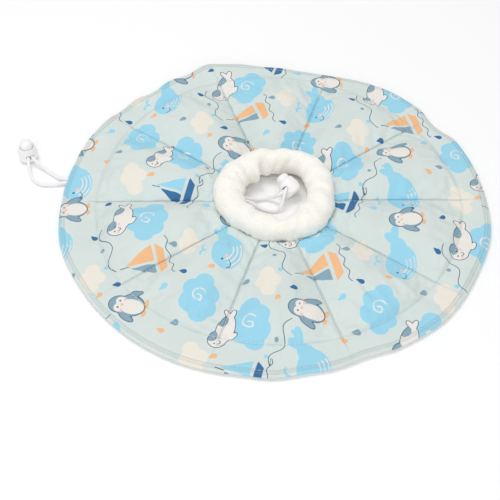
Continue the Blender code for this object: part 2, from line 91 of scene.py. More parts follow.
COLLAR_RADIUS = NECK_SEAM_RADIUS + COLLAR_DEPTH
RING_RADIUS = COLLAR_RADIUS - BAND_WIDTH
CASING_HALF = CORD_DIAMETER / 2 + GAP + CLOTH_THICKNESS
LANE = (CORD_DIAMETER + GAP) / 2
SLOT_WIDTH = 2 * CORD_DIAMETER + 3 * GAP
SEAM_TOP = SEAM_HEIGHT + SEAM_THICKNESS / 2
BORE_BOTTOM = LOCK_FLOOR + GAP + BUTTON_TRAVEL + BUTTON_FLOOR
BORE_HEIGHT = BORE_BOTTOM + GAP + CORD_DIAMETER / 2
PITCH = 360 / PAD_COUNT

# Folds: where each lies round the collar and how wide it is, in degrees, and how far it moves
# the edge outward, as a share of its radius, and up, as a share of RIM_LIFT
Fold = namedtuple("Fold", "angle width outward up", defaults=(0.0,))
RIM_FOLDS = (
    Fold(147, 9, -0.022, 0.12), Fold(115, 17, 0.0, 0.85), Fold(105, 7, 0.012, 0.32),
    Fold(74, 17, -0.055), Fold(36, 4, -0.028), Fold(20, 12, -0.014),
    Fold(-31, 9, 0.018), Fold(-67, 8, -0.034), Fold(-91, 6, 0.018),
    Fold(-165, 9, 0.012),
)
RING_FOLDS = (
    Fold(108, 45, 0.050), Fold(0, 20, 0.014), Fold(-90, 40, -0.026),
    Fold(180, 25, -0.022),
)
HOLE_FOLDS = (
    Fold(130, 9, -0.17), Fold(112, 8, 0.13), Fold(60, 24, 0.19),
    Fold(-5, 14, -0.04), Fold(-42, 13, -0.12), Fold(-81, 10, 0.18),
    Fold(-132, 13, -0.11),
)
# How the cloth lies beyond the folds of the solids, and the laid cuff's outer edge
LAID_FOLDS = (
    Fold(150, 9, 0.024), Fold(115, 17, 0.0, -0.60), Fold(128, 6, -0.012),
    Fold(108, 6, 0.028), Fold(105, 7, 0.0, -0.32), Fold(66, 14, 0.016),
    Fold(44, 6, -0.010), Fold(31, 4, -0.030), Fold(2, 12, -0.014),
    Fold(-30, 12, -0.036), Fold(-54, 9, -0.020), Fold(-86, 18, -0.036),
)
CUFF_FOLDS = (
    Fold(180, 45, 0.069), Fold(135, 25, 0.033), Fold(90, 40, -0.064),
    Fold(45, 25, 0.069), Fold(-45, 25, 0.052), Fold(-90, 40, -0.043),
    Fold(-135, 25, -0.044),
)
WAVE_COUNT = 30
WAVE_WINDOW = Fold(125, 32, 1.0)
PAD_STATIONS = (-1.0, -0.9, -0.7, -0.46, -0.22, 0.0, 0.22, 0.46, 0.7, 0.9)
TUNNEL_FULL = 0.56
TUNNEL_END = 0.90
RIM_EXIT_DEG = 171.9
NECK_EXIT_DEG = 180.0

# Routes of the free strands, as steps from the middle of their exit. A is the near strand.
RIM_ROUTE_A = (
    (-0.0041, -0.0017, -0.0004), (-0.0086, -0.0025, -0.0010), (-0.0134, -0.0030, -0.0012),
    (-0.0176, -0.0029, -0.0012), (-0.0216, -0.0022, -0.0012), (-0.0252, -0.0002, -0.0012),
    (-0.0284, 0.0031, -0.0011), (-0.0306, 0.0072, -0.0007), (-0.0321, 0.0116, 0.0004),
    (-0.0331, 0.0155, 0.0018), (-0.0338, 0.0189, 0.0034),
)
RIM_ROUTE_B = (
    (-0.0032, 0.0023, -0.0003), (-0.0072, 0.0045, -0.0009), (-0.0116, 0.0074, -0.0012),
    (-0.0154, 0.0103, -0.0011), (-0.0191, 0.0132, -0.0005), (-0.0225, 0.0160, 0.0006),
    (-0.0258, 0.0184, 0.0019), (-0.0286, 0.0205, 0.0032),
)
NECK_ROUTE_A = (
    (0.0030, -0.0016, -0.0008), (0.0060, -0.0018, -0.0025), (0.0091, -0.0025, -0.0042),
    (0.0124, -0.0041, -0.0054), (0.0158, -0.0060, -0.0056), (0.0198, -0.0077, -0.0056),
    (0.0240, -0.0083, -0.0056), (0.0277, -0.0073, -0.0046), (0.0302, -0.0048, -0.0019),
    (0.0315, -0.0018, 0.0019), (0.0322, 0.0008, 0.0047),
)
NECK_ROUTE_B = (
    (0.0030, 0.0017, -0.0008), (0.0061, 0.0023, -0.0025), (0.0095, 0.0033, -0.0040),
    (0.0134, 0.0046, -0.0049), (0.0174, 0.0053, -0.0050), (0.0214, 0.0047, -0.0037),
    (0.0249, 0.0030, -0.0008), (0.0275, 0.0015, 0.0022), (0.0293, 0.0013, 0.0039),
)
RIM_LOCK_STEP = (-0.0356, 0.0294)
RIM_LOCK_AXIS = Vector((0.0, 0.0, 1.0))
RIM_LOCK_MOUTH = Vector((0.4226, -0.9063, 0.0))
NECK_LOCK_STEP = (0.0405, 0.0068)
NECK_LOCK_AXIS = Vector((-0.62, 0.62, 0.48))
NECK_LOCK_MOUTH = Vector((-0.449, -0.808, 0.38))

# Creases of the fleece: where each lies round the cuff and round its section (0 outward, 90
# up), how wide and long it is in degrees, and how deep
Crease = namedtuple("Crease", "angle side width spread depth")
CUFF_CREASES = (
    Crease(158, 122, 4.0, 42, 0.0022), Crease(112, 176, 5.0, 48, 0.0018),
    Crease(92, 186, 4.0, 40, 0.0011), Crease(73, 172, 5.0, 44, 0.0016),
    Crease(28, 140, 6.0, 40, 0.0010), Crease(0, 92, 4.5, 34, 0.0014),
    Crease(-43, 104, 5.0, 40, 0.0021), Crease(-61, 78, 5.5, 52, 0.0024),
    Crease(-88, 118, 5.0, 36, 0.0012), Crease(-124, 108, 4.5, 38, 0.0016),
    Crease(-147, 92, 5.0, 40, 0.0017), Crease(-176, 128, 5.0, 34, 0.0012),
)

# How fine the meshes are
COLUMNS_PER_PAD = 96
COLUMNS = COLUMNS_PER_PAD * PAD_COUNT
TOP_ROWS = 84
UNDER_ROWS = 11
BAND_ROWS = 28
EDGE_ROWS = 5
BAND_UNDER_ROWS = 11
SHARP_ROW = 0.0006
HEM_INSET = 0.0036
TURN_INSET = 0.0015
SIM_ROWS = 36
SIM_PER_PAD = 24
SIM_FRAMES = 24
SIM_CAP = 0.0022
SIM = {}
CUFF_COLUMNS = 480
CUFF_ROWS = 84
TURNED_SIDES = 96
BRAID_SIDES = 28
BRAID_PITCH = 0.0085
STRAND_STEP = 0.00032

# Relief of the cloth, in metres, and counts of waves round the collar
PUCKER_RUN = 0.0125
PUCKER_HEIGHT = 0.00026
RUFFLE_HEIGHT = 0.00034
RUFFLE_REACH = 0.010
RUFFLE_COUNTS = (31, 47, 61, 83)
LUMP_HEIGHT = 0.00040
LUMP_LENGTH = 0.060
SEAM_SINK = 0.0007
SEAM_SINK_WIDTH = 0.0009
HEM_SINK = 0.00045
HEM_SINK_WIDTH = 0.0006
GATHER_HEIGHT = 0.00032
GATHER_COUNTS = (33, 47, 64, 92)
THREAD_SIZE = 0.0005
STITCH_LIFT = 0.00005

# Colours as seen, 0 to 255
GROUND = (217, 228, 225)
LINING = (236, 239, 236)
FLEECE = (252, 249, 241)
CORD_WHITE = (250, 248, 250)
PLASTIC_WHITE = (250, 248, 248)
THREAD = (222, 232, 230)
INKS = {
    "cream": (238, 232, 220),
    "sky": (156, 215, 237),
    "peach": (244, 190, 140),
    "slate": (136, 168, 184),
    "navy": (48, 110, 162),
    "white": (238, 234, 228),
    "beak": (244, 190, 140),
    "patch": (136, 168, 184),
    "pink": (240, 200, 198),
    "spot": (70, 92, 110),
}
# Painted shade laid along the seams and hem lines of the printed cloth
SHADE = (150, 172, 178)
LINE_INK = (74, 98, 118)
LINE_WIDTH = 0.46
FAR_AWAY = 20.0


def fold_share(fold, angle):
    """How much of a fold is felt at an angle in degrees, from 0 to 1."""
    away = (angle - fold.angle + 180) % 360 - 180
    return np.exp(-((away / fold.width) ** 2))


def folded(radius, folds, angle):
    """A radius with its folds, at angles in degrees."""
    return radius * (1 + sum(fold.outward * fold_share(fold, angle) for fold in folds))


def at(angle, radius, height):
    """Points round the neck axis, as rows of x, y and z."""
    turn = np.radians(angle)
    parts = np.broadcast_arrays(radius * np.cos(turn), radius * np.sin(turn), height)
    return np.stack(parts, axis=-1)


def point_at(angle, radius, height):
    """One point round the neck axis."""
    return Vector(at(angle, radius, height))


def rim_folds(laid):
    """The folds of the collar's edge, as built or as the cloth is laid."""
    return RIM_FOLDS + LAID_FOLDS if laid else RIM_FOLDS


def rim_radius(angle, laid=True):
    """Radius of the collar's edge."""
    return folded(COLLAR_RADIUS, rim_folds(laid), angle)


def rim_lift(angle, laid=True):
    """How far the collar's edge stands off the table, without its small waves."""
    total = RIM_LIFT * sum(fold.up * fold_share(fold, angle) for fold in rim_folds(laid))
    return np.maximum(total, 0.0)


def rim_wave(angle):
    """Height of the small waves that the drawcord leaves in the rim."""
    window = fold_share(WAVE_WINDOW, angle)
    return RIM_WAVE * window * (1 + np.sin(np.radians(WAVE_COUNT * angle)))


def ring_radius(angle):
    """Radius of the seam between the pads and the band."""
    return folded(RING_RADIUS, RING_FOLDS, angle)


def band_points(angle, across, above, laid=True):
    """Points of the band: across from the ring seam to the rim, above its middle."""
    start = ring_radius(angle)
    width = rim_radius(angle, laid) - start
    settled = np.minimum(1.0, across / TUNNEL_FULL)
    middle = SEAM_HEIGHT + (CASING_HALF - SEAM_HEIGHT) * settled
    edge = np.maximum(0.0, (across - TUNNEL_END) / (1 - TUNNEL_END))
    slope = rim_lift(angle, laid) / width
    lift = rim_lift(angle, laid) * across + rim_wave(angle) * edge
    return at(angle, start + across * width, middle + lift + above * np.hypot(1, slope))


def outline_middle():
    """Middle of the box round the collar's outline."""
    angles = np.array([
        FIRST_SEAM_DEG + PITCH * (pad + (share + 1) / 2)
        for pad in range(PAD_COUNT)
        for share in PAD_STATIONS
    ])
    edge = band_points(angles, 1.0, 0.0, laid=False)
    middle = (edge.min(axis=0) + edge.max(axis=0)) / 2
    return Vector((middle[0], middle[1], 0.0))


MOVE = -outline_middle()

CuffSection = namedtuple("CuffSection", "middle half_width half_height height")


def cuff_section(angle, laid=True):
    """The cuff's section: radius and height of its middle, and its half sizes."""
    far = np.sin(np.radians(angle))
    outer = CUFF_OUTER_RADIUS * (1 + CUFF_FAR_GROWTH * far)
    half_height = CUFF_HEIGHT / 2 * (1 + CUFF_LEAN * far)
    if laid:
        outer = folded(CUFF_LAID_RADIUS, CUFF_FOLDS, angle)
        half_height = CUFF_LAID_HEIGHT / 2 * (1 + CUFF_LAID_LEAN * far)
    hole = folded(CUFF_HOLE_RADIUS, HOLE_FOLDS, angle)
    height = half_height + CUFF_BASE_LIFT * (1 + far)
    return CuffSection((outer + hole) / 2, (outer - hole) / 2, half_height, height)


def cuff_reach(turn):
    """The share of its half width that the cuff reaches out, fuller below its outer side."""
    reach = np.cos(turn)
    low = np.clip(-np.sin(turn), 0.0, 1.0)
    return np.where(reach > 0, np.abs(reach) ** (1 - CUFF_FULLNESS * low), reach)


def neck_edge_radius(angle):
    """Radius where the pads' inner edge meets the cuff's underside."""
    cuff = cuff_section(angle)
    rise = (cuff.height - SEAM_TOP - GAP) / cuff.half_height
    turn = -np.arcsin(np.clip(rise, -1.0, 1.0))
    return cuff.middle + cuff.half_width * cuff_reach(turn) - PAD_TUCK


def waves(angle, counts, seed):
    """An uneven ripple round the collar, from about -1 to 1."""
    phases = np.random.default_rng(seed).uniform(0, 2 * math.pi, len(counts))
    turn = np.radians(angle)
    return sum(np.sin(n * turn + p) for n, p in zip(counts, phases)) / math.sqrt(len(counts))


def cloud(points, length, seed, terms=12):
    """Smooth noise of about -1 to 1 over rows of points, with features of about a length."""
    dice = np.random.default_rng(seed)
    total = 0
    for _ in range(terms):
        way = dice.normal(size=3)
        way *= dice.uniform(0.6, 1.5) * 2 * math.pi / length / np.linalg.norm(way)
        total = total + np.sin(points @ way + dice.uniform(0, 2 * math.pi))
    return total / math.sqrt(terms)


def pad_fill(angle, along):
    """How full a pad is, from 0 at its seams to 1."""
    across = ((angle - FIRST_SEAM_DEG) % PITCH) / PITCH * 2 - 1
    sideways = np.maximum(0.0, 1 - np.abs(across) ** 2.4) ** 0.75
    lengthways = 1 - np.abs(2 * along - 1) ** 4
    return sideways * lengthways * (0.76 + 0.24 * along)


def seam_distance(angle, radius):
    """Distance to the nearest radial seam, and which side of which seam that is."""
    turns = (angle - FIRST_SEAM_DEG) / PITCH
    nearest = np.round(turns)
    return np.abs(turns - nearest) * np.radians(PITCH) * radius, nearest, turns > nearest


def plain_pads(angle, along):
    """Points of the pads' upper cloth before its puckers."""
    inner = neck_edge_radius(angle)
    radius = inner + along * (ring_radius(angle) - inner)
    return at(angle, radius, SEAM_TOP + PAD_PUFF * pad_fill(angle, along))


def near_only(distance, start, reach):
    """A share that rises from 0 at a seam within about start, and fades within about reach."""
    return np.exp(-distance / reach) * (1 - np.exp(-distance / start))


def ruffles(angle, distance, start):
    """The ripple that both sides of the ring seam have."""
    return near_only(distance, start, RUFFLE_REACH) * waves(angle, RUFFLE_COUNTS, 3)


def pads_top(angle, along):
    """Points of the pads' upper cloth, with the puckers at its seams."""
    points = plain_pads(angle, along)
    radius = np.hypot(points[..., 0], points[..., 1])
    gap, nearest, side = seam_distance(angle, radius)
    phase = 2.4 * nearest + 1.3 * side
    run = radius / PUCKER_RUN
    pucker = np.sin(2 * math.pi * run + phase) + 0.6 * np.sin(3.7 * run + 2 * phase)
    lumps = cloud(at(angle, radius, 0.0), LUMP_LENGTH, 5)
    points[..., 2] += (
        PUCKER_HEIGHT * pucker * near_only(gap, 0.0018, 0.011)
        + RUFFLE_HEIGHT * ruffles(angle, ring_radius(angle) - radius, 0.0016)
        + LUMP_HEIGHT * lumps * np.minimum(1, 2 * pad_fill(angle, along))
        + sim_rise(angle, along)
        - SEAM_SINK * np.exp(-((gap / SEAM_SINK_WIDTH) ** 2))
    )
    return points


def pads_under(angle, along):
    """Points of the pads' lining."""
    inner = neck_edge_radius(angle)
    pressed = np.minimum(1.0, 2.4 * pad_fill(angle, along))
    height = (SEAM_HEIGHT - SEAM_THICKNESS / 2) * (1 - pressed)
    return at(angle, inner + along * (ring_radius(angle) - inner), height)


def simulate_pads():
    """Let the pads' upper cloth swell and crease between its sewn seams, by cloth simulation."""
    columns = SIM_PER_PAD * PAD_COUNT
    angles = FIRST_SEAM_DEG + np.arange(columns) * 360 / columns
    along = np.linspace(0, 1, SIM_ROWS)
    start = plain_pads(angles[None, :], along[:, None])
    mesh = grid_mesh("pad_sheet", start, closed_rows=False, capped=False)
    sheet = bpy.data.objects.new("pad_sheet", mesh)
    scene = bpy.context.scene
    scene.collection.objects.link(sheet)
    held = sheet.vertex_groups.new(name="held")
    sewn = [row * columns + column for row in range(SIM_ROWS) for column in range(columns)
            if column % SIM_PER_PAD == 0 or row in (0, SIM_ROWS - 1)]
    held.add(sewn, 1.0, "REPLACE")
    cloth = sheet.modifiers.new("cloth", "CLOTH")
    settings = cloth.settings
    settings.quality = 6
    settings.mass = 0.15
    settings.tension_stiffness = 12
    settings.compression_stiffness = 12
    settings.shear_stiffness = 4
    settings.bending_stiffness = 0.15
    settings.air_damping = 2
    settings.vertex_group_mass = "held"
    settings.shrink_min = -0.035
    settings.use_pressure = True
    settings.uniform_pressure_force = 1.2
    settings.effector_weights.gravity = 0
    for number in range(1, SIM_FRAMES + 1):
        scene.frame_set(number)
    graph = bpy.context.evaluated_depsgraph_get()
    swollen = np.empty(len(mesh.vertices) * 3)
    sheet.evaluated_get(graph).data.vertices.foreach_get("co", swollen)
    rise = swollen.reshape(SIM_ROWS, columns, 3)[..., 2] - start[..., 2]
    bpy.data.objects.remove(sheet, do_unlink=True)
    scene.frame_set(1)
    SIM["rise"] = np.clip(rise, -SIM_CAP, SIM_CAP)


def sim_rise(angle, along):
    """How far the simulated cloth stands above the plain pad, read off its grid."""
    if "rise" not in SIM:
        return 0.0
    rise = SIM["rise"]
    rows, columns = rise.shape
    u = ((angle - FIRST_SEAM_DEG) % 360) / 360 * columns
    v = np.clip(along, 0, 1) * (rows - 1)
    u, v = np.broadcast_arrays(u, v)
    c0 = np.floor(u).astype(int) % columns
    r0 = np.minimum(np.floor(v).astype(int), rows - 2)
    fu, fv = u - np.floor(u), v - r0
    c1 = (c0 + 1) % columns
    low = rise[r0, c0] * (1 - fu) + rise[r0, c1] * fu
    high = rise[r0 + 1, c0] * (1 - fu) + rise[r0 + 1, c1] * fu
    return low * (1 - fv) + high * fv


def band_skin(across):
    """Half the band's thickness as a share of CASING_HALF, across its width."""
    return np.interp(across, (0.0, 0.28, 0.56, 0.90, 1.0), (0.377, 0.74, 1.0, 1.0, 0.35))


def band_top(angle, across):
    """Points of the band's upper cloth, with its hem and the gathers of its drawcord."""
    width = rim_radius(angle) - ring_radius(angle)
    hem = np.exp(-((((1 - across) * width - HEM_INSET) / HEM_SINK_WIDTH) ** 2))
    loose = 0.30 + 0.8 * fold_share(WAVE_WINDOW, angle)
    gather = waves(angle, GATHER_COUNTS, 12) * across * loose * (1 - hem)
    above = (CASING_HALF * band_skin(across) + GATHER_HEIGHT * gather - HEM_SINK * hem
             + RUFFLE_HEIGHT * ruffles(angle, across * width, 0.0015))
    return band_points(angle, across, above)


def band_under(angle, across):
    """Points of the band's lining."""
    points = band_points(angle, across, -CASING_HALF * band_skin(across))
    points[..., 2] = np.maximum(points[..., 2], 0.0)
    return points


def linear(color):
    """A colour as seen, 0 to 255, as the linear values that a shader takes."""
    shares = [channel / 255 for channel in color]
    values = [s / 12.92 if s <= 0.04045 else ((s + 0.055) / 1.055) ** 2.4 for s in shares]
    return (*values, 1.0)


def darker(color, drop):
    """The same for a colour that is darker by a drop in each channel."""
    return linear([channel - drop for channel in color])


def grid_mesh(name, points, closed_rows=True, capped=True):
    """A mesh from a grid of points whose columns go round, with its faces turned outward."""
    rows, columns = points.shape[:2]
    index = np.arange(rows * columns).reshape(rows, columns)
    right = np.roll(index, -1, axis=1)
    corners = (index, np.roll(index, -1, axis=0), np.roll(right, -1, axis=0), right)
    keep = rows if closed_rows else rows - 1
    quads = np.stack(corners, axis=-1)[:keep].reshape(-1, 4)
    flat = points.reshape(-1, 3)
    a, b, c, d = (flat[quads[:, k]] for k in range(4))
    inside_out = np.einsum("ij,ij->i", a, np.cross(b, c) + np.cross(c, d)).sum() < 0
    if inside_out:
        quads = quads[:, ::-1]
    faces = quads.tolist()
    if not closed_rows and capped:
        ends = [index[0].tolist(), index[-1].tolist()[::-1]]
        faces += [end[::-1] for end in ends] if inside_out else ends
    mesh = bpy.data.meshes.new(name)
    mesh.from_pydata(flat, [], faces)
    mesh.polygons.foreach_set("use_smooth", np.ones(len(mesh.polygons), bool))
    return mesh


def add_piece(name, mesh, body, *materials):
    """A mesh in the neck's frame as a named piece that rides on a body."""
    mesh.transform(Matrix.Translation(MOVE))
    piece = bpy.data.objects.new(name, mesh)
    bpy.context.scene.collection.objects.link(piece)
    for look in materials:
        mesh.materials.append(look)
    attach(piece, body)
    return piece


# Printed motifs, in millimetres about their own middle

def disc(p, x, y, radius):
    """Signed distance to a disc."""
    return np.hypot(p[0] - x, p[1] - y) - radius


def oval(p, x, y, wide, high, lean=0.0):
    """Signed distance to an oval with half sizes wide and high, leaning in degrees."""
    turn = math.radians(lean)
    dx, dy = p[0] - x, p[1] - y
    u = dx * math.cos(turn) + dy * math.sin(turn)
    v = dy * math.cos(turn) - dx * math.sin(turn)
    near = np.hypot(u / wide, v / high)
    return near * (near - 1) / np.maximum(np.hypot(u / wide**2, v / high**2), 1e-6)


def from_segment(p, a, b):
    """Steps from a segment's start to points, its own step, and the distance to it."""
    ex, ey, wx, wy = b[0] - a[0], b[1] - a[1], p[0] - a[0], p[1] - a[1]
    t = np.clip((wx * ex + wy * ey) / (ex * ex + ey * ey), 0, 1)
    return wx, wy, ex, ey, np.hypot(wx - ex * t, wy - ey * t)


def polygon(p, *corners):
    """Signed distance to a polygon."""
    nearest = np.full(p[0].shape, np.inf)
    sign = np.ones(p[0].shape)
    for a, b in zip(corners, corners[-1:] + corners[:-1]):
        wx, wy, ex, ey, distance = from_segment(p, a, b)
        nearest = np.minimum(nearest, distance)
        tests = np.stack([p[1] >= a[1], p[1] < b[1], ex * wy > ey * wx])
        sign = np.where(tests.all(axis=0) | (~tests).all(axis=0), -sign, sign)
    return sign * nearest


Drawn = namedtuple("Drawn", "side distance")


def line(p, *points):
    """Offset to a line drawn through points, with its side's sign, and the distance to it."""
    nearest = np.full(p[0].shape, np.inf)
    side = np.full(p[0].shape, FAR_AWAY)
    for a, b in zip(points, points[1:]):
        wx, wy, ex, ey, distance = from_segment(p, a, b)
        closer = distance < nearest
        nearest = np.where(closer, distance, nearest)
        side = np.where(closer, (wx * ey - wy * ex) / math.hypot(ex, ey), side)
    return Drawn(side, nearest)


def edge(shape):
    """The outline of a shape, as a drawn line."""
    return Drawn(shape, np.abs(shape))


def drawn(*lines):
    """Drawn lines together: at each point the nearest one counts."""
    distances = np.stack([one.distance for one in lines])
    choice = distances.argmin(axis=0)[None]
    sides = np.stack([one.side for one in lines])
    pick = np.take_along_axis
    return Drawn(pick(sides, choice, 0)[0], pick(distances, choice, 0)[0])


def stroke(p, width, *points):
    """Signed distance to a broad stroke through points."""
    return line(p, *points).distance - width / 2


def arc(x, y, radius, start, end, steps=8):
    """Points of an arc, for a stroke."""
    turns = [math.radians(start + (end - start) * i / steps) for i in range(steps + 1)]
    return [(x + radius * math.cos(t), y + radius * math.sin(t)) for t in turns]


def wavy(length, height, count, steps=24):
    """Points of a wavy line about its own middle, for a stroke."""
    shares = [i / steps for i in range(steps + 1)]
    return [(length * (s - 0.5), height * math.sin(2 * math.pi * count * s)) for s in shares]


def union(*shapes):
    """Signed distance to shapes together."""
    return np.minimum.reduce(shapes)


def whale(p):
    """A round whale with a spout."""
    body = union(oval(p, -3, 0, 17, 11.5), oval(p, 9, 2.5, 11, 6.5, 28))
    tail = union(oval(p, 18, 10, 6.5, 3.2, 62), oval(p, 22.5, 8.5, 6.5, 3.0, 8))
    spout = union(stroke(p, 1.6, *arc(-9.4, 15.5, 3.6, 0, 130)),
                  stroke(p, 1.6, *arc(-2.2, 15.5, 3.6, 180, 50)))
    belly = [stroke(p, 1.0, *arc(-3, 8, radius, 222, 300)) for radius in (12.5, 15.4, 18.3)]
    return {
        "sky": union(body, tail, spout),
        "white": union(*belly),
        "line": drawn(line(p, *arc(-15, -1.4, 3.6, 215, 320))),
        "spot": disc(p, -12.3, 1.8, 1.0),
        "pink": oval(p, -8.8, -0.8, 2.1, 1.4),
    }


def foam(p):
    """A scalloped patch of foam with a curl in it."""
    lobes = [disc(p, x, y, r) for x, y, r in (
        (-13.0, -1.5, 7.2), (-4.5, 5.5, 9.2), (7.0, 5.5, 8.2), (14.5, -1.5, 7.2),
        (5.0, -6.0, 8.6), (-6.0, -6.5, 7.6))]
    curl = stroke(p, 1.1, *arc(2.0, 0.0, 5.2, -60, 200), *arc(-0.8, 0.4, 2.4, 190, 400))
    return {"sky": union(*lobes), "white": curl}


def haze(p):
    """A faint scalloped patch."""
    lobes = [disc(p, x, y, r) for x, y, r in (
        (-9.0, 0.0, 5.5), (-1.5, 3.5, 6.5), (7.0, 1.5, 5.5), (0.5, -3.0, 6.0))]
    return {"cream": union(*lobes)}


def penguin(p):
    """A small standing penguin with pink cheeks."""
    body = union(oval(p, 0, -1, 9.2, 11.6), disc(p, 0, 6.5, 7.6))
    wings = union(oval(p, -10.2, -2, 2.6, 6.4, -24), oval(p, 10.2, -2, 2.6, 6.4, 24))
    coat = union(body, wings)
    front = union(oval(p, 0, -3.2, 6.8, 8.8), disc(p, -2.9, 5.6, 4.0), disc(p, 2.9, 5.6, 4.0))
    feet = union(oval(p, -3.8, -13.2, 3.2, 1.7), oval(p, 3.8, -13.2, 3.2, 1.7))
    return {
        "slate": coat,
        "white": np.maximum(front, body + 0.4),
        "peach": feet,
        "beak": polygon(p, (-1.7, 5.2), (1.7, 5.2), (0.0, 2.6)),
        "pink": union(oval(p, -5.3, 3.3, 1.6, 1.1), oval(p, 5.3, 3.3, 1.6, 1.1)),
        "line": drawn(edge(coat)),
        "spot": union(disc(p, -3.0, 6.6, 0.85), disc(p, 3.0, 6.6, 0.85)),
    }


def seal(p):
    """A pale seal pup, lying, with a slate patch and pink cheeks."""
    body = union(oval(p, 2, -2, 14.5, 7.6, -8), disc(p, -9.5, 3.2, 7.8))
    tail = union(oval(p, 17.5, -1.5, 5.2, 2.4, 40), oval(p, 18.5, -5.5, 5.0, 2.3, -10))
    paw = oval(p, -3.5, -9.5, 4.4, 2.2, -30)
    skin = union(body, tail, paw)
    return {
        "white": skin,
        "patch": union(np.maximum(disc(p, -6.0, 8.5, 5.4), skin + 0.3),
                       np.maximum(disc(p, 11.0, 3.6, 6.6), skin + 0.3)),
        "line": drawn(edge(skin), line(p, *arc(-11.3, 1.2, 1.5, 190, 350))),
        "spot": union(disc(p, -13.2, 4.6, 0.85), disc(p, -7.8, 4.6, 0.85)),
        "pink": union(oval(p, -14.4, 1.6, 1.5, 1.1), oval(p, -6.4, 1.4, 1.5, 1.1)),
    }


def boat(p, main, jib, hull):
    """A sailing boat in three inks, on a ripple."""
    inks = {}
    shapes = (
        (main, polygon(p, (1.0, -6.5), (13.5, -6.5), (1.0, 16.0))),
        (jib, polygon(p, (-1.0, -6.5), (-11.0, -6.5), (-1.0, 12.5))),
        (hull, polygon(p, (-13.5, -9.0), (14.5, -9.0), (9.5, -15.0), (-9.0, -15.0))),
    )
    for ink, shape in shapes:
        inks[ink] = union(inks[ink], shape) if ink in inks else shape
    ripple = [(x + 0.5, y - 18.2) for x, y in wavy(36, 1.3, 3)]
    inks["line"] = drawn(line(p, *ripple), line(p, (0, 13.5), (0, 18.5)))
    return inks


def warm_boat(p):
    """A boat in peach and slate."""
    return boat(p, "peach", "slate", "peach")


def cool_boat(p):
    """A boat in blues."""
    return boat(p, "sky", "navy", "navy")


def drop(ink):
    """A small drop in one ink."""
    def shape(p):
        """The drop itself."""
        return {ink: union(disc(p, 0, -1.0, 2.2),
                           polygon(p, (-2.0, -0.2), (2.0, -0.2), (0.0, 4.0)))}
    return shape


def string(p):
    """A long loose line with bubbles beside it."""
    path = [(x, y + 0.06 * x) for x, y in wavy(42, 3.4, 1.5, 36)]
    return {
        "line": drawn(line(p, *path)),
        "sky": union(disc(p, -15, 4.6, 1.9), disc(p, 12.5, -4.6, 1.6)),
        "slate": disc(p, 1.5, 4.0, 1.7),
    }


# One repeat of the print: what lies where in it, in millimetres, and how it leans
Motif = namedtuple("Motif", "shape x y lean size")
REPEAT = (166.0, 129.0)
PRINT_LEAN = 86.0
PRINT_START = (14.0, -8.0)
REACH = 34.0
LAYOUT = (
    Motif(whale, 24, 22, 6, 1.06),
    Motif(penguin, 68, 28, -10, 1.0),
    Motif(warm_boat, 107, 20, 18, 1.0),
    Motif(foam, 145, 24, -8, 1.05),
    Motif(seal, 145, 44, 8, 0.95),
    Motif(haze, 92, 57, 0, 1.0),
    Motif(foam, 55, 68, 10, 1.0),
    Motif(cool_boat, 15, 72, -14, 0.95),
    Motif(string, 118, 50, 20, 1.0),
    Motif(whale, 122, 89, -8, 1.0),
    Motif(penguin, 159, 85, 8, 0.95),
    Motif(haze, 26, 105, 10, 1.1),
    Motif(foam, 74, 106, -6, 0.95),
    Motif(seal, 50, 87, -6, 0.85),
    Motif(string, 41, 46, -24, 0.9),
    Motif(haze, 129, 118, 0, 0.9),
    Motif(drop("navy"), 87, 39, 20, 1.0),
    Motif(drop("peach"), 48, 2, -30, 1.0),
    Motif(drop("sky"), 83, 4, 40, 1.1),
    Motif(drop("slate"), 126, 2, 10, 1.0),
    Motif(drop("peach"), 28, 92, 25, 1.0),
    Motif(drop("navy"), 96, 120, -15, 1.0),
    Motif(drop("slate"), 94, 74, 30, 1.0),
    Motif(drop("navy"), 131, 63, -35, 1.0),
    Motif(drop("peach"), 102, 100, 15, 1.0),
    Motif(drop("sky"), 4, 46, -10, 1.0),
    Motif(drop("slate"), 55, 122, 5, 1.0),
    Motif(drop("peach"), 76, 50, 60, 0.9),
    Motif(drop("navy"), 0, 122, 35, 0.9),
)


def printed(points):
    """The print's fields at rows of points, in millimetres: signed distances ink by ink, and
    the drawn lines' offsets and distances."""
    flat = points[:, :2] * 1000
    turn = math.radians(PRINT_LEAN)
    x = flat[:, 0] * math.cos(turn) + flat[:, 1] * math.sin(turn) + PRINT_START[0]
    y = flat[:, 1] * math.cos(turn) - flat[:, 0] * math.sin(turn) + PRINT_START[1]
    fields = {ink: np.full(len(flat), FAR_AWAY) for ink in (*INKS, "side", "near")}
    for motif in LAYOUT:
        lean = math.radians(motif.lean)
        for column in range(-3, 3):
            for row in range(-3, 4):
                dx = x - motif.x - column * REPEAT[0]
                dy = y - motif.y - (row + 0.5 * (column % 2)) * REPEAT[1]
                near = np.nonzero(np.hypot(dx, dy) < REACH * motif.size)[0]
                if not len(near):
                    continue
                u = (dx[near] * math.cos(lean) + dy[near] * math.sin(lean)) / motif.size
                v = (dy[near] * math.cos(lean) - dx[near] * math.sin(lean)) / motif.size
                shapes = motif.shape((u, v))
                lines = shapes.pop("line", None)
                if lines:
                    closer = lines.distance * motif.size < fields["near"][near]
                    for ink, value in zip(("side", "near"), lines):
                        field = fields[ink]
                        field[near] = np.where(closer, value * motif.size, field[near])
                for ink, field in shapes.items():
                    fields[ink][near] = np.minimum(fields[ink][near], field * motif.size)
    return fields


def add_fields(mesh, fields):
    """Keep one number a vertex on a mesh, field by field."""
    for name, field in fields.items():
        layer = mesh.attributes.new(name, "FLOAT", "POINT")
        layer.data.foreach_set("value", np.ravel(field).astype(np.float32))


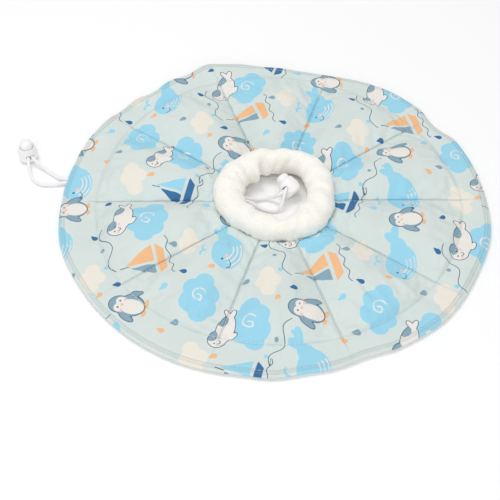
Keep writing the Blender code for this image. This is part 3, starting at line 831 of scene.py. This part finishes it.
def add_print(mesh):
    """Keep the print's fields on a mesh in the neck's frame, and how its seams lie."""
    points = np.empty(len(mesh.vertices) * 3)
    mesh.vertices.foreach_get("co", points)
    points = points.reshape(-1, 3)
    add_fields(mesh, {"print_" + ink: field for ink, field in printed(points).items()})
    radius = np.hypot(points[:, 0], points[:, 1])
    angle = np.degrees(np.arctan2(points[:, 1], points[:, 0]))
    gap, _, side = seam_distance(angle, radius)
    inside = np.maximum(0, radius - ring_radius(angle))
    rim = rim_radius(angle) - radius
    add_fields(mesh, {
        "seam": 1000 * (np.where(side, gap, -gap) + np.where(side, inside, -inside)),
        "ring": 1000 * (radius - ring_radius(angle)),
        "rim": 1000 * rim,
    })


# Materials

class Shader:
    """A small helper for building one node material."""

    def __init__(self, name, roughness, sheen=0.0, sheen_roughness=0.5, coat=0.0):
        self.look = bpy.data.materials.new(name)
        self.look.use_nodes = True
        self.nodes = self.look.node_tree.nodes
        self.links = self.look.node_tree.links
        self.main = self.nodes["Principled BSDF"]
        self.main.inputs["Roughness"].default_value = roughness
        self.main.inputs["Sheen Weight"].default_value = sheen
        self.main.inputs["Sheen Roughness"].default_value = sheen_roughness
        self.main.inputs["Coat Weight"].default_value = coat

    def node(self, kind, **settings):
        """Add a node; settings with a leading in_ are its inputs."""
        made = self.nodes.new(kind)
        for key, value in settings.items():
            if key.startswith("in_"):
                made.inputs[key[3:].replace("_", " ")].default_value = value
            else:
                setattr(made, key, value)
        return made

    def place(self, scale):
        """Object coordinates times a scale."""
        where = self.node("ShaderNodeTexCoord")
        sized = self.node("ShaderNodeMapping")
        sized.inputs["Scale"].default_value = (scale, scale, scale)
        self.links.new(where.outputs["Object"], sized.inputs["Vector"])
        return sized.outputs["Vector"]

    def noise(self, size, detail=3.0, rough=0.5):
        """Noise with features of about a size in metres, from 0 to 1."""
        made = self.node("ShaderNodeTexNoise", in_Detail=detail, in_Roughness=rough)
        made.inputs["Scale"].default_value = 1.0
        self.links.new(self.place(1 / size), made.inputs["Vector"])
        return made.outputs["Fac"]

    def patches(self, size):
        """Soft patches of about a size in metres, from 0 to 1."""
        return self.spread(self.noise(size), 0.35, 0.65)

    def math(self, kind, a, b):
        """A math node of sockets or numbers."""
        made = self.node("ShaderNodeMath", operation=kind)
        for slot, value in zip(made.inputs, (a, b)):
            if isinstance(value, (int, float)):
                slot.default_value = value
            else:
                self.links.new(value, slot)
        return made.outputs[0]

    def spread(self, value, low, high, to_low=0.0, to_high=1.0):
        """Map a value from low..high to another range, clamped."""
        made = self.node("ShaderNodeMapRange")
        for key, number in (("From Min", low), ("From Max", high), ("To Min", to_low),
                            ("To Max", to_high)):
            made.inputs[key].default_value = number
        self.links.new(value, made.inputs["Value"])
        return made.outputs["Result"]

    def field(self, name):
        """A field kept on the mesh."""
        return self.node("ShaderNodeAttribute", attribute_name=name).outputs["Fac"]

    def line(self, name, half, soft, place=0.0):
        """1 on the line where a field has a value, with soft edges."""
        away = self.math("ABSOLUTE", self.math("SUBTRACT", self.field(name), place), 0.0)
        return self.spread(away, half + soft, half)

    def mix(self, share, a, b):
        """Mix two colours, each a socket or a colour."""
        made = self.node("ShaderNodeMix", data_type="RGBA")
        for slot, value in ((made.inputs[0], share), (made.inputs[6], a), (made.inputs[7], b)):
            if isinstance(value, (int, float, tuple)):
                slot.default_value = value
            else:
                self.links.new(value, slot)
        return made.outputs[2]

    def color(self, value):
        """Send a colour to the shader."""
        if isinstance(value, tuple):
            self.main.inputs["Base Color"].default_value = value
        else:
            self.links.new(value, self.main.inputs["Base Color"])

    def bump(self, height, distance, strength=1.0):
        """Add a bump of a height in metres under the ones before it."""
        made = self.node("ShaderNodeBump", in_Strength=strength, in_Distance=distance)
        self.links.new(height, made.inputs["Height"])
        slot = self.main.inputs["Normal"]
        if slot.links:
            self.links.new(slot.links[0].from_socket, made.inputs["Normal"])
        self.links.new(made.outputs["Normal"], slot)

    def weave(self, size):
        """A plain weave of threads of a size in metres, from 0 to 1."""
        threads = []
        for way in ("X", "Y"):
            made = self.node("ShaderNodeTexWave", wave_type="BANDS", bands_direction=way,
                             in_Distortion=0.6, in_Detail=1.0)
            made.inputs["Scale"].default_value = 0.31
            self.links.new(self.place(1 / size), made.inputs["Vector"])
            threads.append(made.outputs["Fac"])
        return self.math("MAXIMUM", *threads)


    def grain(self, thread):
        """The fine relief of cloth woven of threads of a size."""
        self.bump(self.noise(0.004, 4.0), 0.00012)
        self.bump(self.weave(thread), 0.00005, 0.6)

    def glow(self, weight, *radius):
        """Let light pass a little way through the surface, by colour."""
        self.main.inputs["Subsurface Weight"].default_value = weight
        self.main.inputs["Subsurface Radius"].default_value = radius
        self.main.inputs["Subsurface Scale"].default_value = 1.0


def printed_cloth():
    """Smooth printed polyester: pale mint ground, inks, fine weave, and painted shade with
    shallow bumped grooves along the sewn lines.
    """
    made = Shader("printed_cloth", 0.82, sheen=0.04, sheen_roughness=0.4)
    color = made.mix(made.patches(0.03), linear(GROUND), darker(GROUND, 4))
    for ink, tint in INKS.items():
        share = made.spread(made.field("print_" + ink), 0.14, -0.14)
        color = made.mix(share, color, linear(tint))
    half = LINE_WIDTH / 2
    stripe = made.line("print_side", half, 0.14)
    nearby = made.spread(made.field("print_near"), 1.15, 0.95)
    color = made.mix(made.math("MULTIPLY", stripe, nearby), color, linear(LINE_INK))
    color = made.mix(made.spread(made.weave(THREAD_SIZE), 0.0, 1.0, 0.05, 0.0), color,
                     linear((120, 140, 150)))
    # Painted shade: the radial seams, the ring seam and the two hem lines are mixed towards
    # SHADE
    creases = made.line("seam", 0.30, 0.50)
    ring = made.line("ring", 0.0, 1.6)
    hems = made.math("MAXIMUM", made.line("rim", 0.2, 0.5, TURN_INSET * 1000),
                     made.line("rim", 0.2, 0.5, HEM_INSET * 1000))
    sewn = made.math("MAXIMUM", made.math("MULTIPLY", creases, 0.27),
                     made.math("MULTIPLY", hems, 0.15))
    sewn = made.math("MAXIMUM", sewn, made.math("MULTIPLY", ring, 0.11))
    color = made.mix(sewn, color, linear(SHADE))
    made.color(color)
    made.grain(THREAD_SIZE)
    made.bump(made.math("SUBTRACT", 1.0, made.math("MAXIMUM", creases, hems)), 0.0005, 0.8)
    return made.look


def plain_cloth(name, tint, thread=THREAD_SIZE):
    """Unprinted woven cloth."""
    made = Shader(name, 0.85, sheen=0.12, sheen_roughness=0.4)
    made.color(made.mix(made.patches(0.03), linear(tint), darker(tint, 6)))
    made.grain(thread)
    return made.look


def fleece():
    """Thick cream fleece with a short, soft pile."""
    made = Shader("fleece", 0.95, sheen=0.06, sheen_roughness=0.6)
    tufts = made.noise(0.0016, 4.0, 0.65)
    made.color(made.mix(made.spread(tufts, 0.30, 0.55), darker(FLEECE, 9), linear(FLEECE)))
    made.glow(0.15, 0.004, 0.003, 0.002)
    made.bump(made.noise(0.007, 3.0, 0.55), 0.0005, 0.5)
    made.bump(tufts, 0.0004, 0.6)
    return made.look


def cord_yarn():
    """White polyester yarn."""
    made = Shader("cord_yarn", 0.75, sheen=0.05)
    made.color(made.mix(made.patches(0.0009), darker(CORD_WHITE, 10), linear(CORD_WHITE)))
    made.bump(made.noise(0.0004, 2.0), 0.00008)
    return made.look


def moulded_plastic(name, roughness):
    """White moulded plastic with a fine grain."""
    made = Shader(name, roughness, coat=0.12)
    made.color(made.mix(made.patches(0.006), linear(PLASTIC_WHITE), darker(PLASTIC_WHITE, 5)))
    made.glow(0.08, 0.002, 0.002, 0.002)
    made.bump(made.noise(0.0007, 2.0), 0.00003, 0.5)
    return made.look


PRINT = printed_cloth()
LINED = plain_cloth("lining", LINING)
FLEECE_LOOK = fleece()
YARN = cord_yarn()
STITCH = plain_cloth("stitch_thread", THREAD, 0.0003)
PLASTIC = moulded_plastic("lock_plastic", 0.42)
BUTTON_PLASTIC = moulded_plastic("lock_button_plastic", 0.34)


# Pads, band and cuff

def cloth_angles():
    """Angles of the columns of the pads and the band."""
    return FIRST_SEAM_DEG + np.arange(COLUMNS) * 360 / COLUMNS


def cloth_piece(name, printed_rows, lined_rows):
    """A closed piece of cloth, printed above and lined below."""
    mesh = grid_mesh(name, np.concatenate([printed_rows, lined_rows]))
    add_print(mesh)
    count = len(printed_rows)
    kinds = np.repeat(np.arange(count + len(lined_rows)) >= count, COLUMNS)
    mesh.polygons.foreach_set("material_index", kinds.astype(np.int32))
    return add_piece(name, mesh, "collar", PRINT, LINED)


def make_pads():
    """The ten quilted pads: printed cloth above, lining below."""
    angles = cloth_angles()
    step = np.linspace(0, 1, TOP_ROWS)
    along = 0.65 * step + 0.35 * (0.5 - 0.5 * np.cos(math.pi * step))
    along = np.concatenate([[0.0, SHARP_ROW], along[1:-1], [1 - SHARP_ROW, 1.0]])
    simulate_pads()
    top = pads_top(angles[None, :], along[:, None])
    under = pads_under(angles[None, :], np.linspace(1, 0, UNDER_ROWS)[:, None])
    pads = cloth_piece("quilted_pads", top, under)
    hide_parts("padded_disc")


def make_band():
    """The hemmed band round the pads: printed cloth above, lining below."""
    angles = cloth_angles()
    step = np.linspace(0, 1, BAND_ROWS)
    across = step + 0.06 * np.sin(2 * math.pi * step)
    across = np.concatenate([[0.0, 3 * SHARP_ROW], across[1:]])
    top = band_top(angles[None, :], across[:, None])
    under = band_under(angles[None, :], np.linspace(1, 0, BAND_UNDER_ROWS)[:, None])
    rim = band_points(angles, 1.0, 0.0)
    out = at(angles, 1.0, 0.0)
    half = CASING_HALF * band_skin(1.0)
    turned = []
    for index in range(1, EDGE_ROWS + 1):
        turn = math.radians(90 - 180 * index / (EDGE_ROWS + 1))
        row = rim + out * half * math.cos(turn) * 0.8
        row[:, 2] += half * math.sin(turn)
        turned.append(row)
    band = cloth_piece("rim_band", np.concatenate([top, np.stack(turned)]), under)
    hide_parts("rim_casing")


def make_cuff():
    """The plump fleece cuff, with its gathers and creases."""
    angles = np.arange(CUFF_COLUMNS)[None, :] * 360 / CUFF_COLUMNS
    sides = np.arange(CUFF_ROWS)[:, None] * 360 / CUFF_ROWS
    cuff = cuff_section(angles)
    turn = np.radians(sides)
    gathers = np.sin(np.radians(CUFF_GATHERS * angles + 40 * np.sin(3 * turn)))
    felt = (1 + np.cos(turn - np.radians(135))) / 2
    swell = 1 + (0.35 * gathers - 1) * felt * CUFF_GATHER / cuff.half_width
    loose = waves(angles + 5 * np.sin(2 * turn), (5, 8, 11, 17), 21)
    seam = (1 + np.cos(turn - np.radians(320))) / 2
    tight = waves(angles, (29, 41, 56), 22) * seam**6
    swell = swell + (0.0005 * loose + 0.0003 * tight) / cuff.half_width
    depth = 0
    for crease in CUFF_CREASES:
        lean = 0.12 * (sides - crease.side)
        away = (angles - crease.angle - lean + 180) % 360 - 180
        side = (sides - crease.side + 180) % 360 - 180
        depth = depth + crease.depth * (
            np.exp(-((away / crease.width) ** 2))
            - 0.35 * np.exp(-((away / crease.width / 2.4) ** 2))
        ) * np.exp(-((side / crease.spread) ** 2))
    swell = swell - depth / cuff.half_width
    radius = cuff.middle + cuff.half_width * swell * cuff_reach(turn)
    points = at(angles, radius, cuff.height + cuff.half_height * swell * np.sin(turn))
    flat = points.reshape(-1, 3)
    bumps = 0.00022 * cloud(flat, 0.016, 31) + 0.00007 * cloud(flat, 0.005, 32, 16)
    out = np.stack([np.cos(turn) * np.cos(np.radians(angles)),
                    np.cos(turn) * np.sin(np.radians(angles)),
                    np.sin(turn) + 0 * angles], axis=-1)
    points = points + out * bumps.reshape(points.shape[:2])[..., None]
    points[..., 2] = np.maximum(points[..., 2], 0.0)
    piece = add_piece("fleece_cuff", grid_mesh("fleece_cuff", points), "collar", FLEECE_LOOK)
    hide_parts("neck_cuff")


def make_stitches(name, surface, angles, shares, turn, step):
    """Short thread stitches on a surface at angles and shares, along the way that a small turn
    and a small step of the share lead."""
    lift = np.array((0.0, 0.0, STITCH_LIFT))
    middles = surface(angles, shares) + lift
    ways = surface(angles + turn, shares + step) - middles
    ways = ways / np.linalg.norm(ways, axis=1)[:, None]
    up = np.array((0.0, 0.0, 1.0))
    sides = np.cross(up, ways)
    shape = [(-1.0, 0.25), (-0.7, 0.9), (0.7, 0.9), (1.0, 0.25)]
    turns = np.radians(np.arange(6) * 60)
    template = np.array([
        (0.0011 * along, 0.00026 * size * math.cos(t), 0.00022 * size * math.sin(t))
        for along, size in shape for t in turns
    ])
    points = (middles[:, None] + template[None, :, :1] * ways[:, None]
              + template[None, :, 1:2] * sides[:, None] + template[None, :, 2:] * up)
    quads = [(6 * r + c, 6 * r + (c + 1) % 6, 6 * r + 6 + (c + 1) % 6, 6 * r + 6 + c)
             for r in range(3) for c in range(6)]
    faces = [tuple(24 * k + v for v in quad) for k in range(len(middles)) for quad in quads]
    faces += [tuple(24 * k + v for v in range(6))[::-1] for k in range(len(middles))]
    faces += [tuple(24 * k + 18 + v for v in range(6)) for k in range(len(middles))]
    mesh = bpy.data.meshes.new(name)
    mesh.from_pydata(points.reshape(-1, 3), [], faces)
    mesh.polygons.foreach_set("use_smooth", np.ones(len(mesh.polygons), bool))
    piece = add_piece(name, mesh, "collar", STITCH)


def make_all_stitches():
    """Topstitching of the hem, the ring seam and the radial seams."""
    angles = np.arange(0, 360, 360 / 330)
    hem_share = 1 - HEM_INSET / (rim_radius(angles) - ring_radius(angles))
    make_stitches("hem_stitches", band_top, angles, hem_share, 0.2, 0.0)
    make_stitches("ring_stitches", pads_top, np.arange(0, 360, 360 / 290), 0.995, 0.2, 0.0)
    along = np.linspace(0.03, 0.97, 31)
    seams = FIRST_SEAM_DEG + PITCH * np.repeat(np.arange(PAD_COUNT), len(along))
    make_stitches("seam_stitches", pads_top, seams, np.tile(along, PAD_COUNT), 0.0, 0.004)


# Cords, locks and knots

def rim_exit():
    """Middle of the rim cord's exit, on the rim."""
    return Vector(band_points(RIM_EXIT_DEG, 1.0, 0.0, laid=False))


def neck_exit():
    """Middle of the neck cord's exit, on the cuff's inner wall at the channel's height."""
    cuff = cuff_section(NECK_EXIT_DEG, laid=False)
    reach = cuff.half_width * math.sqrt(1 - CHANNEL_DROP**2)
    return point_at(NECK_EXIT_DEG, cuff.middle - reach,
                    cuff.height - CHANNEL_DROP * cuff.half_height)


def lock_profile():
    """The lock body's profile, from its cavity's floor over the mouth and down outside."""
    cavity = BUTTON_RADIUS + GAP
    return (
        (0.0, LOCK_FLOOR), (cavity, LOCK_FLOOR), (cavity, LOCK_HEIGHT - GAP),
        (cavity + GAP, LOCK_HEIGHT), (LOCK_MOUTH_RADIUS - GAP, LOCK_HEIGHT),
        (LOCK_MOUTH_RADIUS, LOCK_HEIGHT - GAP), (0.93 * LOCK_RADIUS, 0.80 * LOCK_HEIGHT),
        (LOCK_RADIUS, 0.60 * LOCK_HEIGHT), (LOCK_RADIUS, 0.33 * LOCK_HEIGHT),
        (0.93 * LOCK_RADIUS, 0.13 * LOCK_HEIGHT), (0.80 * LOCK_RADIUS, 0.03 * LOCK_HEIGHT),
        (0.62 * LOCK_RADIUS, 0.0), (0.0, 0.0),
    )


def button_profile():
    """The button's profile, from the top of its dome down its side to its foot."""
    top = LOCK_HEIGHT + BUTTON_RISE
    shoulder = LOCK_HEIGHT + 0.35 * BUTTON_RISE
    dome = top - shoulder
    foot = LOCK_FLOOR + GAP + BUTTON_TRAVEL
    return (
        (0.0, top), (0.50 * BUTTON_RADIUS, shoulder + 0.93 * dome),
        (0.80 * BUTTON_RADIUS, shoulder + 0.67 * dome),
        (0.95 * BUTTON_RADIUS, shoulder + 0.36 * dome), (BUTTON_RADIUS, shoulder),
        (BUTTON_RADIUS, foot), (0.0, foot),
    )


def resting_height(axis):
    """How high the base's middle is when a lock with this axis touches the table."""
    flat = math.sqrt(max(0.0, 1 - axis.z**2))
    return -min(height * axis.z - radius * flat for radius, height in lock_profile())


def lock_matrix(exit_point, step, axis, mouth):
    """Place of a lock: its base's middle, its button's way up, its bore along Y."""
    up = axis.normalized()
    inward = (-mouth + up * mouth.dot(up)).normalized()
    side = inward.cross(up)
    turn = Matrix((side, inward, up)).transposed().to_4x4()
    base = Vector((exit_point.x + step[0], exit_point.y + step[1], resting_height(up)))
    return Matrix.Translation(base) @ turn


def knot_start():
    """How far from the lock's axis the knot's near face is."""
    return LOCK_RADIUS + GAP


def catmull_rom(points, steps=16):
    """A smooth curve through given points."""
    ends = [2 * points[0] - points[1]] + list(points) + [2 * points[-1] - points[-2]]
    curve = []
    for a, b, c, d in zip(ends, ends[1:], ends[2:], ends[3:]):
        for step in range(steps):
            t = step / steps
            curve.append(
                0.5 * (2 * b + (c - a) * t + (2 * a - 5 * b + 4 * c - d) * t**2
                       + (3 * b - a - 3 * c + d) * t**3)
            )
    return curve + [points[-1]]


def spaced(curve, spacing):
    """Points of a curve at even steps of about the spacing."""
    lengths = [0.0]
    for a, b in zip(curve, curve[1:]):
        lengths.append(lengths[-1] + (b - a).length)
    count = max(2, round(lengths[-1] / spacing))
    chosen = []
    index = 0
    for step in range(count + 1):
        wanted = lengths[-1] * step / count
        while index < len(curve) - 2 and lengths[index + 1] < wanted:
            index += 1
        span = lengths[index + 1] - lengths[index]
        chosen.append(curve[index].lerp(curve[index + 1], (wanted - lengths[index]) / span))
    return chosen


def eased(curve, times=60):
    """A line of closely spaced points with its tight bends opened, its ends kept."""
    line = np.array([tuple(point) for point in curve])
    for _ in range(times):
        line[2:-2] = (line[1:-3] + 2 * line[2:-2] + line[3:-1]) / 4
    return [Vector(point) for point in line]


def strand_route(exit_point, exit_out, lane_along, steps, place, lane_side):
    """A free strand: out of its exit, along its steps, through the bore to the knot."""
    start = exit_point + exit_out * (GAP / 2) + lane_along
    straight = start + exit_out * (CORD_DIAMETER / 2)
    walk = [exit_point + Vector(step) for step in steps]
    through = [
        place @ Vector((lane_side * LANE, reach, BORE_HEIGHT))
        for reach in (-LOCK_RADIUS, -LOCK_RADIUS / 2, 0.0, LOCK_RADIUS / 2, knot_start() - GAP)
    ]
    return [start, straight] + walk + through


def braided_tube(name, centre):
    """A round braid of eight yarns along closely spaced points."""
    line = np.array([tuple(point) for point in centre])
    ways = np.gradient(line, axis=0)
    ways /= np.linalg.norm(ways, axis=1)[:, None]
    side = np.cross(ways[0], (0.0, 0.0, 1.0))
    sides = []
    for way in ways:
        side = side - way * (side @ way)
        side = side / np.linalg.norm(side)
        sides.append(side)
    sides = np.array(sides)
    ups = np.cross(ways, sides)
    steps = np.linalg.norm(np.diff(line, axis=0), axis=1)
    run = np.concatenate([[0], np.cumsum(steps)])[:, None]
    turn = (np.arange(BRAID_SIDES) * 2 * math.pi / BRAID_SIDES)[None, :]
    climb = 2 * math.pi * run / BRAID_PITCH
    left = np.abs(np.cos(2 * (turn + climb)))
    right = np.abs(np.cos(2 * (turn - climb)))
    over = np.where(np.sin(2 * turn) * np.sin(2 * climb) > 0, left, right)
    radius = CORD_DIAMETER / 2 * (0.90 + 0.10 * np.maximum(over, 0.72 * np.maximum(left, right)))
    tip = np.minimum(1, np.minimum(run, run[-1] - run) / 0.0006)
    radius = radius * (0.55 + 0.45 * np.sqrt(tip))
    points = (line[:, None] + sides[:, None] * (radius * np.cos(turn))[..., None]
              + ups[:, None] * (radius * np.sin(turn))[..., None])
    points[..., 2] = np.maximum(points[..., 2], 0.0)
    return grid_mesh(name, points, closed_rows=False)


def make_strands(prefix, exit_point, exit_angle, outward, routes, place, near_lane):
    """The two free strands of a cord; near_lane is strand A's side of the bore."""
    out = point_at(exit_angle, outward, 0.0)
    along = point_at(exit_angle + 90, LANE, 0.0)
    for letter, steps, side in (("a", routes[0], 1.0), ("b", routes[1], -1.0)):
        route = strand_route(exit_point, out, side * along, steps, place, side * near_lane)
        curve = eased(spaced(route[:1] + catmull_rom(route[1:]), STRAND_STEP))
        node = f"{prefix}_cord_{letter}"
        mesh = braided_tube(node + "_braid", curve)
        piece = add_piece(node + "_braid", mesh, "collar", YARN)
        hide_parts(node)


def smoothed(profile, times=2):
    """A profile with its corners cut, its two ends kept."""
    for _ in range(times):
        cut = [profile[0]]
        for (ra, za), (rb, zb) in zip(profile, profile[1:]):
            cut.append((0.82 * ra + 0.18 * rb, 0.82 * za + 0.18 * zb))
            cut.append((0.18 * ra + 0.82 * rb, 0.18 * za + 0.82 * zb))
        profile = cut + [profile[-1]]
    return profile


def turned_piece(name, profile, lobes, place, look, bottom, top, body):
    """A turned moulding with shallow lobes on its side and the bore for both strands."""
    profile = smoothed(list(profile))
    turn = (np.arange(TURNED_SIDES) * 2 * math.pi / TURNED_SIDES)[None, :]
    radius = np.array([max(r, 0.00002) for r, _ in profile])[:, None]
    height = np.array([z for _, z in profile])[:, None]
    side = np.exp(-(((height / LOCK_HEIGHT - 0.42) / 0.26) ** 2)) * (radius > 0.8 * LOCK_RADIUS)
    ridge = np.maximum(0, np.cos(14 * turn)) ** 2 * (np.abs(np.cos(turn)) > 0.55)
    radius = radius * (1 + lobes * side * ridge)
    points = np.stack([radius * np.cos(turn), radius * np.sin(turn),
                       height + 0 * turn], axis=-1)
    mesh = grid_mesh(name, points, closed_rows=False)
    maker = bmesh.new()
    bmesh.ops.create_cube(maker, size=1.0)
    bmesh.ops.scale(maker, vec=(SLOT_WIDTH, 4 * LOCK_RADIUS, top - bottom), verts=maker.verts)
    long_edges = [e for e in maker.edges if abs(e.verts[0].co.y - e.verts[1].co.y) > LOCK_RADIUS]
    bmesh.ops.bevel(maker, geom=long_edges, offset=0.00075, segments=4, affect="EDGES")
    bmesh.ops.translate(maker, vec=(0, 0, (top + bottom) / 2), verts=maker.verts)
    cutter_mesh = bpy.data.meshes.new(name + "_bore")
    maker.to_mesh(cutter_mesh)
    maker.free()
    cutter = bpy.data.objects.new(name + "_bore", cutter_mesh)
    blank = bpy.data.objects.new(name + "_blank", mesh)
    for thing in (cutter, blank):
        bpy.context.scene.collection.objects.link(thing)
    bore = blank.modifiers.new("bore", "BOOLEAN")
    bore.object = cutter
    bore.operation = "DIFFERENCE"
    bore.solver = "EXACT"
    graph = bpy.context.evaluated_depsgraph_get()
    cut = bpy.data.meshes.new_from_object(blank.evaluated_get(graph))
    for thing in (cutter, blank):
        bpy.data.objects.remove(thing, do_unlink=True)
    cut.materials.clear()
    cut.polygons.foreach_set("use_smooth", np.ones(len(cut.polygons), bool))
    cut.set_sharp_from_angle(angle=math.radians(38))
    cut.transform(place)
    return add_piece(name, cut, body, look)


def make_knot(prefix, place):
    """The strands' ends, knotted behind the lock."""
    sides = np.radians(np.arange(40) * 9)[None, :]
    rows = np.linspace(0.0, 1.0, 26)[:, None]
    round_ = np.sin(math.pi * np.clip(rows, 0.02, 0.98)) ** 0.45
    lobes = 1 + 0.10 * np.cos(3 * sides + 5 * rows) + 0.035 * np.cos(9 * sides - 12 * rows)
    radius = KNOT_RADIUS * 1.08 * round_ * lobes
    points = np.stack([
        radius * np.cos(sides),
        knot_start() + rows * KNOT_LENGTH * 1.15 + 0 * sides,
        BORE_HEIGHT + radius * np.sin(sides),
    ], axis=-1)
    mesh = grid_mesh(prefix + "_knot", points, closed_rows=False)
    mesh.transform(place)
    piece = add_piece(prefix + "_knot", mesh, "collar", YARN)
    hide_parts(prefix + "_cord_knot")


def make_lock(prefix, place):
    """A cord lock: ribbed body, domed button, and the knot behind it."""
    cord_top = BORE_HEIGHT + CORD_DIAMETER / 2
    shell = turned_piece(prefix + "_lock_shell", lock_profile(), 0.035, place, PLASTIC,
                         BORE_BOTTOM, cord_top + 2 * GAP, "collar")
    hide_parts(prefix + "_lock_body")
    cap = turned_piece(prefix + "_lock_cap", button_profile(), 0.0, place, BUTTON_PLASTIC,
                       BORE_BOTTOM, cord_top + GAP + BUTTON_TRAVEL, prefix + "_button")
    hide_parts(prefix + "_lock_button")
    make_knot(prefix, place)


def lay_rim_cord():
    """The drawcord inside the band, which follows the band's cloth."""
    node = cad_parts["rim_cord_inner"]
    mesh = node.data.copy()
    mesh.name = "rim_drawcord"
    mesh.transform(Matrix.Translation(-MOVE) @ node.matrix_world)
    points = np.empty(len(mesh.vertices) * 3)
    mesh.vertices.foreach_get("co", points)
    points = points.reshape(-1, 3)
    angle = np.degrees(np.arctan2(points[:, 1], points[:, 0]))
    start = ring_radius(angle)
    across = (np.hypot(points[:, 0], points[:, 1]) - start) / (rim_radius(angle, False) - start)
    points += band_points(angle, across, 0.0) - band_points(angle, across, 0.0, laid=False)
    mesh.vertices.foreach_set("co", points.ravel())
    mesh.materials.clear()
    cord = add_piece("rim_drawcord", mesh, "collar", YARN)
    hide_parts("rim_cord_inner")


def dress_neck_cord():
    """The drawcord inside the cuff keeps its solid, in yarn."""
    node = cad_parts["neck_cord_inner"]
    node.data.materials.clear()
    node.data.materials.append(YARN)


# Room, light and camera

CAMERA_TARGET = (-0.0203, -0.0470)
CAMERA_DISTANCE = 0.8011
CAMERA_ELEVATION = 48.753
CAMERA_LENS = 76.156


def make_camera():
    """The camera at the photograph's angle."""
    data = bpy.data.cameras.new("camera")
    data.sensor_width = 36.0
    data.lens = CAMERA_LENS
    data.clip_start = 0.05
    camera = bpy.data.objects.new("camera", data)
    bpy.context.scene.collection.objects.link(camera)
    rise = math.radians(CAMERA_ELEVATION)
    target = Vector((*CAMERA_TARGET, 0.0)) + MOVE
    back = Vector((0.0, -math.cos(rise), math.sin(rise)))
    camera.location = target + CAMERA_DISTANCE * back
    camera.rotation_euler = (math.pi / 2 - rise, 0.0, 0.0)
    bpy.context.scene.camera = camera


def area_light(name, place, size, power):
    """A soft square light that looks at the collar's middle."""
    data = bpy.data.lights.new(name, "AREA")
    data.size = size
    data.energy = power
    light = bpy.data.objects.new(name, data)
    bpy.context.scene.collection.objects.link(light)
    light.location = place
    light.rotation_euler = (-Vector(place)).to_track_quat("-Z", "Y").to_euler()


def make_room():
    """A plain pale floor, soft white surroundings and two large lights."""
    maker = bmesh.new()
    bmesh.ops.create_grid(maker, x_segments=1, y_segments=1, size=6.0)
    mesh = bpy.data.meshes.new("floor")
    maker.to_mesh(mesh)
    maker.free()
    floor = bpy.data.objects.new("floor", mesh)
    bpy.context.scene.collection.objects.link(floor)
    floor.location.z = -0.0003
    look = Shader("floor", 0.9)
    look.color((1.0, 1.0, 1.0, 1.0))
    mesh.materials.append(look.look)
    world = bpy.data.worlds.new("studio")
    bpy.context.scene.world = world
    world.use_nodes = True
    world.node_tree.nodes["Background"].inputs["Color"].default_value = (1.0, 1.0, 1.0, 1.0)
    world.node_tree.nodes["Background"].inputs["Strength"].default_value = 0.585
    area_light("key", (-0.30, 0.25, 1.45), 0.7, 7.3)
    area_light("fill", (-0.05, -1.2, 0.9), 1.4, 6.2)


# The whole

make_pads()
make_band()
make_cuff()
make_all_stitches()
lay_rim_cord()
dress_neck_cord()
RIM_PLACE = lock_matrix(rim_exit(), RIM_LOCK_STEP, RIM_LOCK_AXIS, RIM_LOCK_MOUTH)
NECK_PLACE = lock_matrix(neck_exit(), NECK_LOCK_STEP, NECK_LOCK_AXIS, NECK_LOCK_MOUTH)
make_lock("rim", RIM_PLACE)
make_lock("neck", NECK_PLACE)
make_strands("rim", rim_exit(), RIM_EXIT_DEG, 1.0, (RIM_ROUTE_A, RIM_ROUTE_B), RIM_PLACE, -1.0)
make_strands("neck", neck_exit(), NECK_EXIT_DEG, -1.0, (NECK_ROUTE_A, NECK_ROUTE_B),
             NECK_PLACE, 1.0)
make_camera()
make_room()
bpy.context.scene.view_settings.view_transform = "Standard"
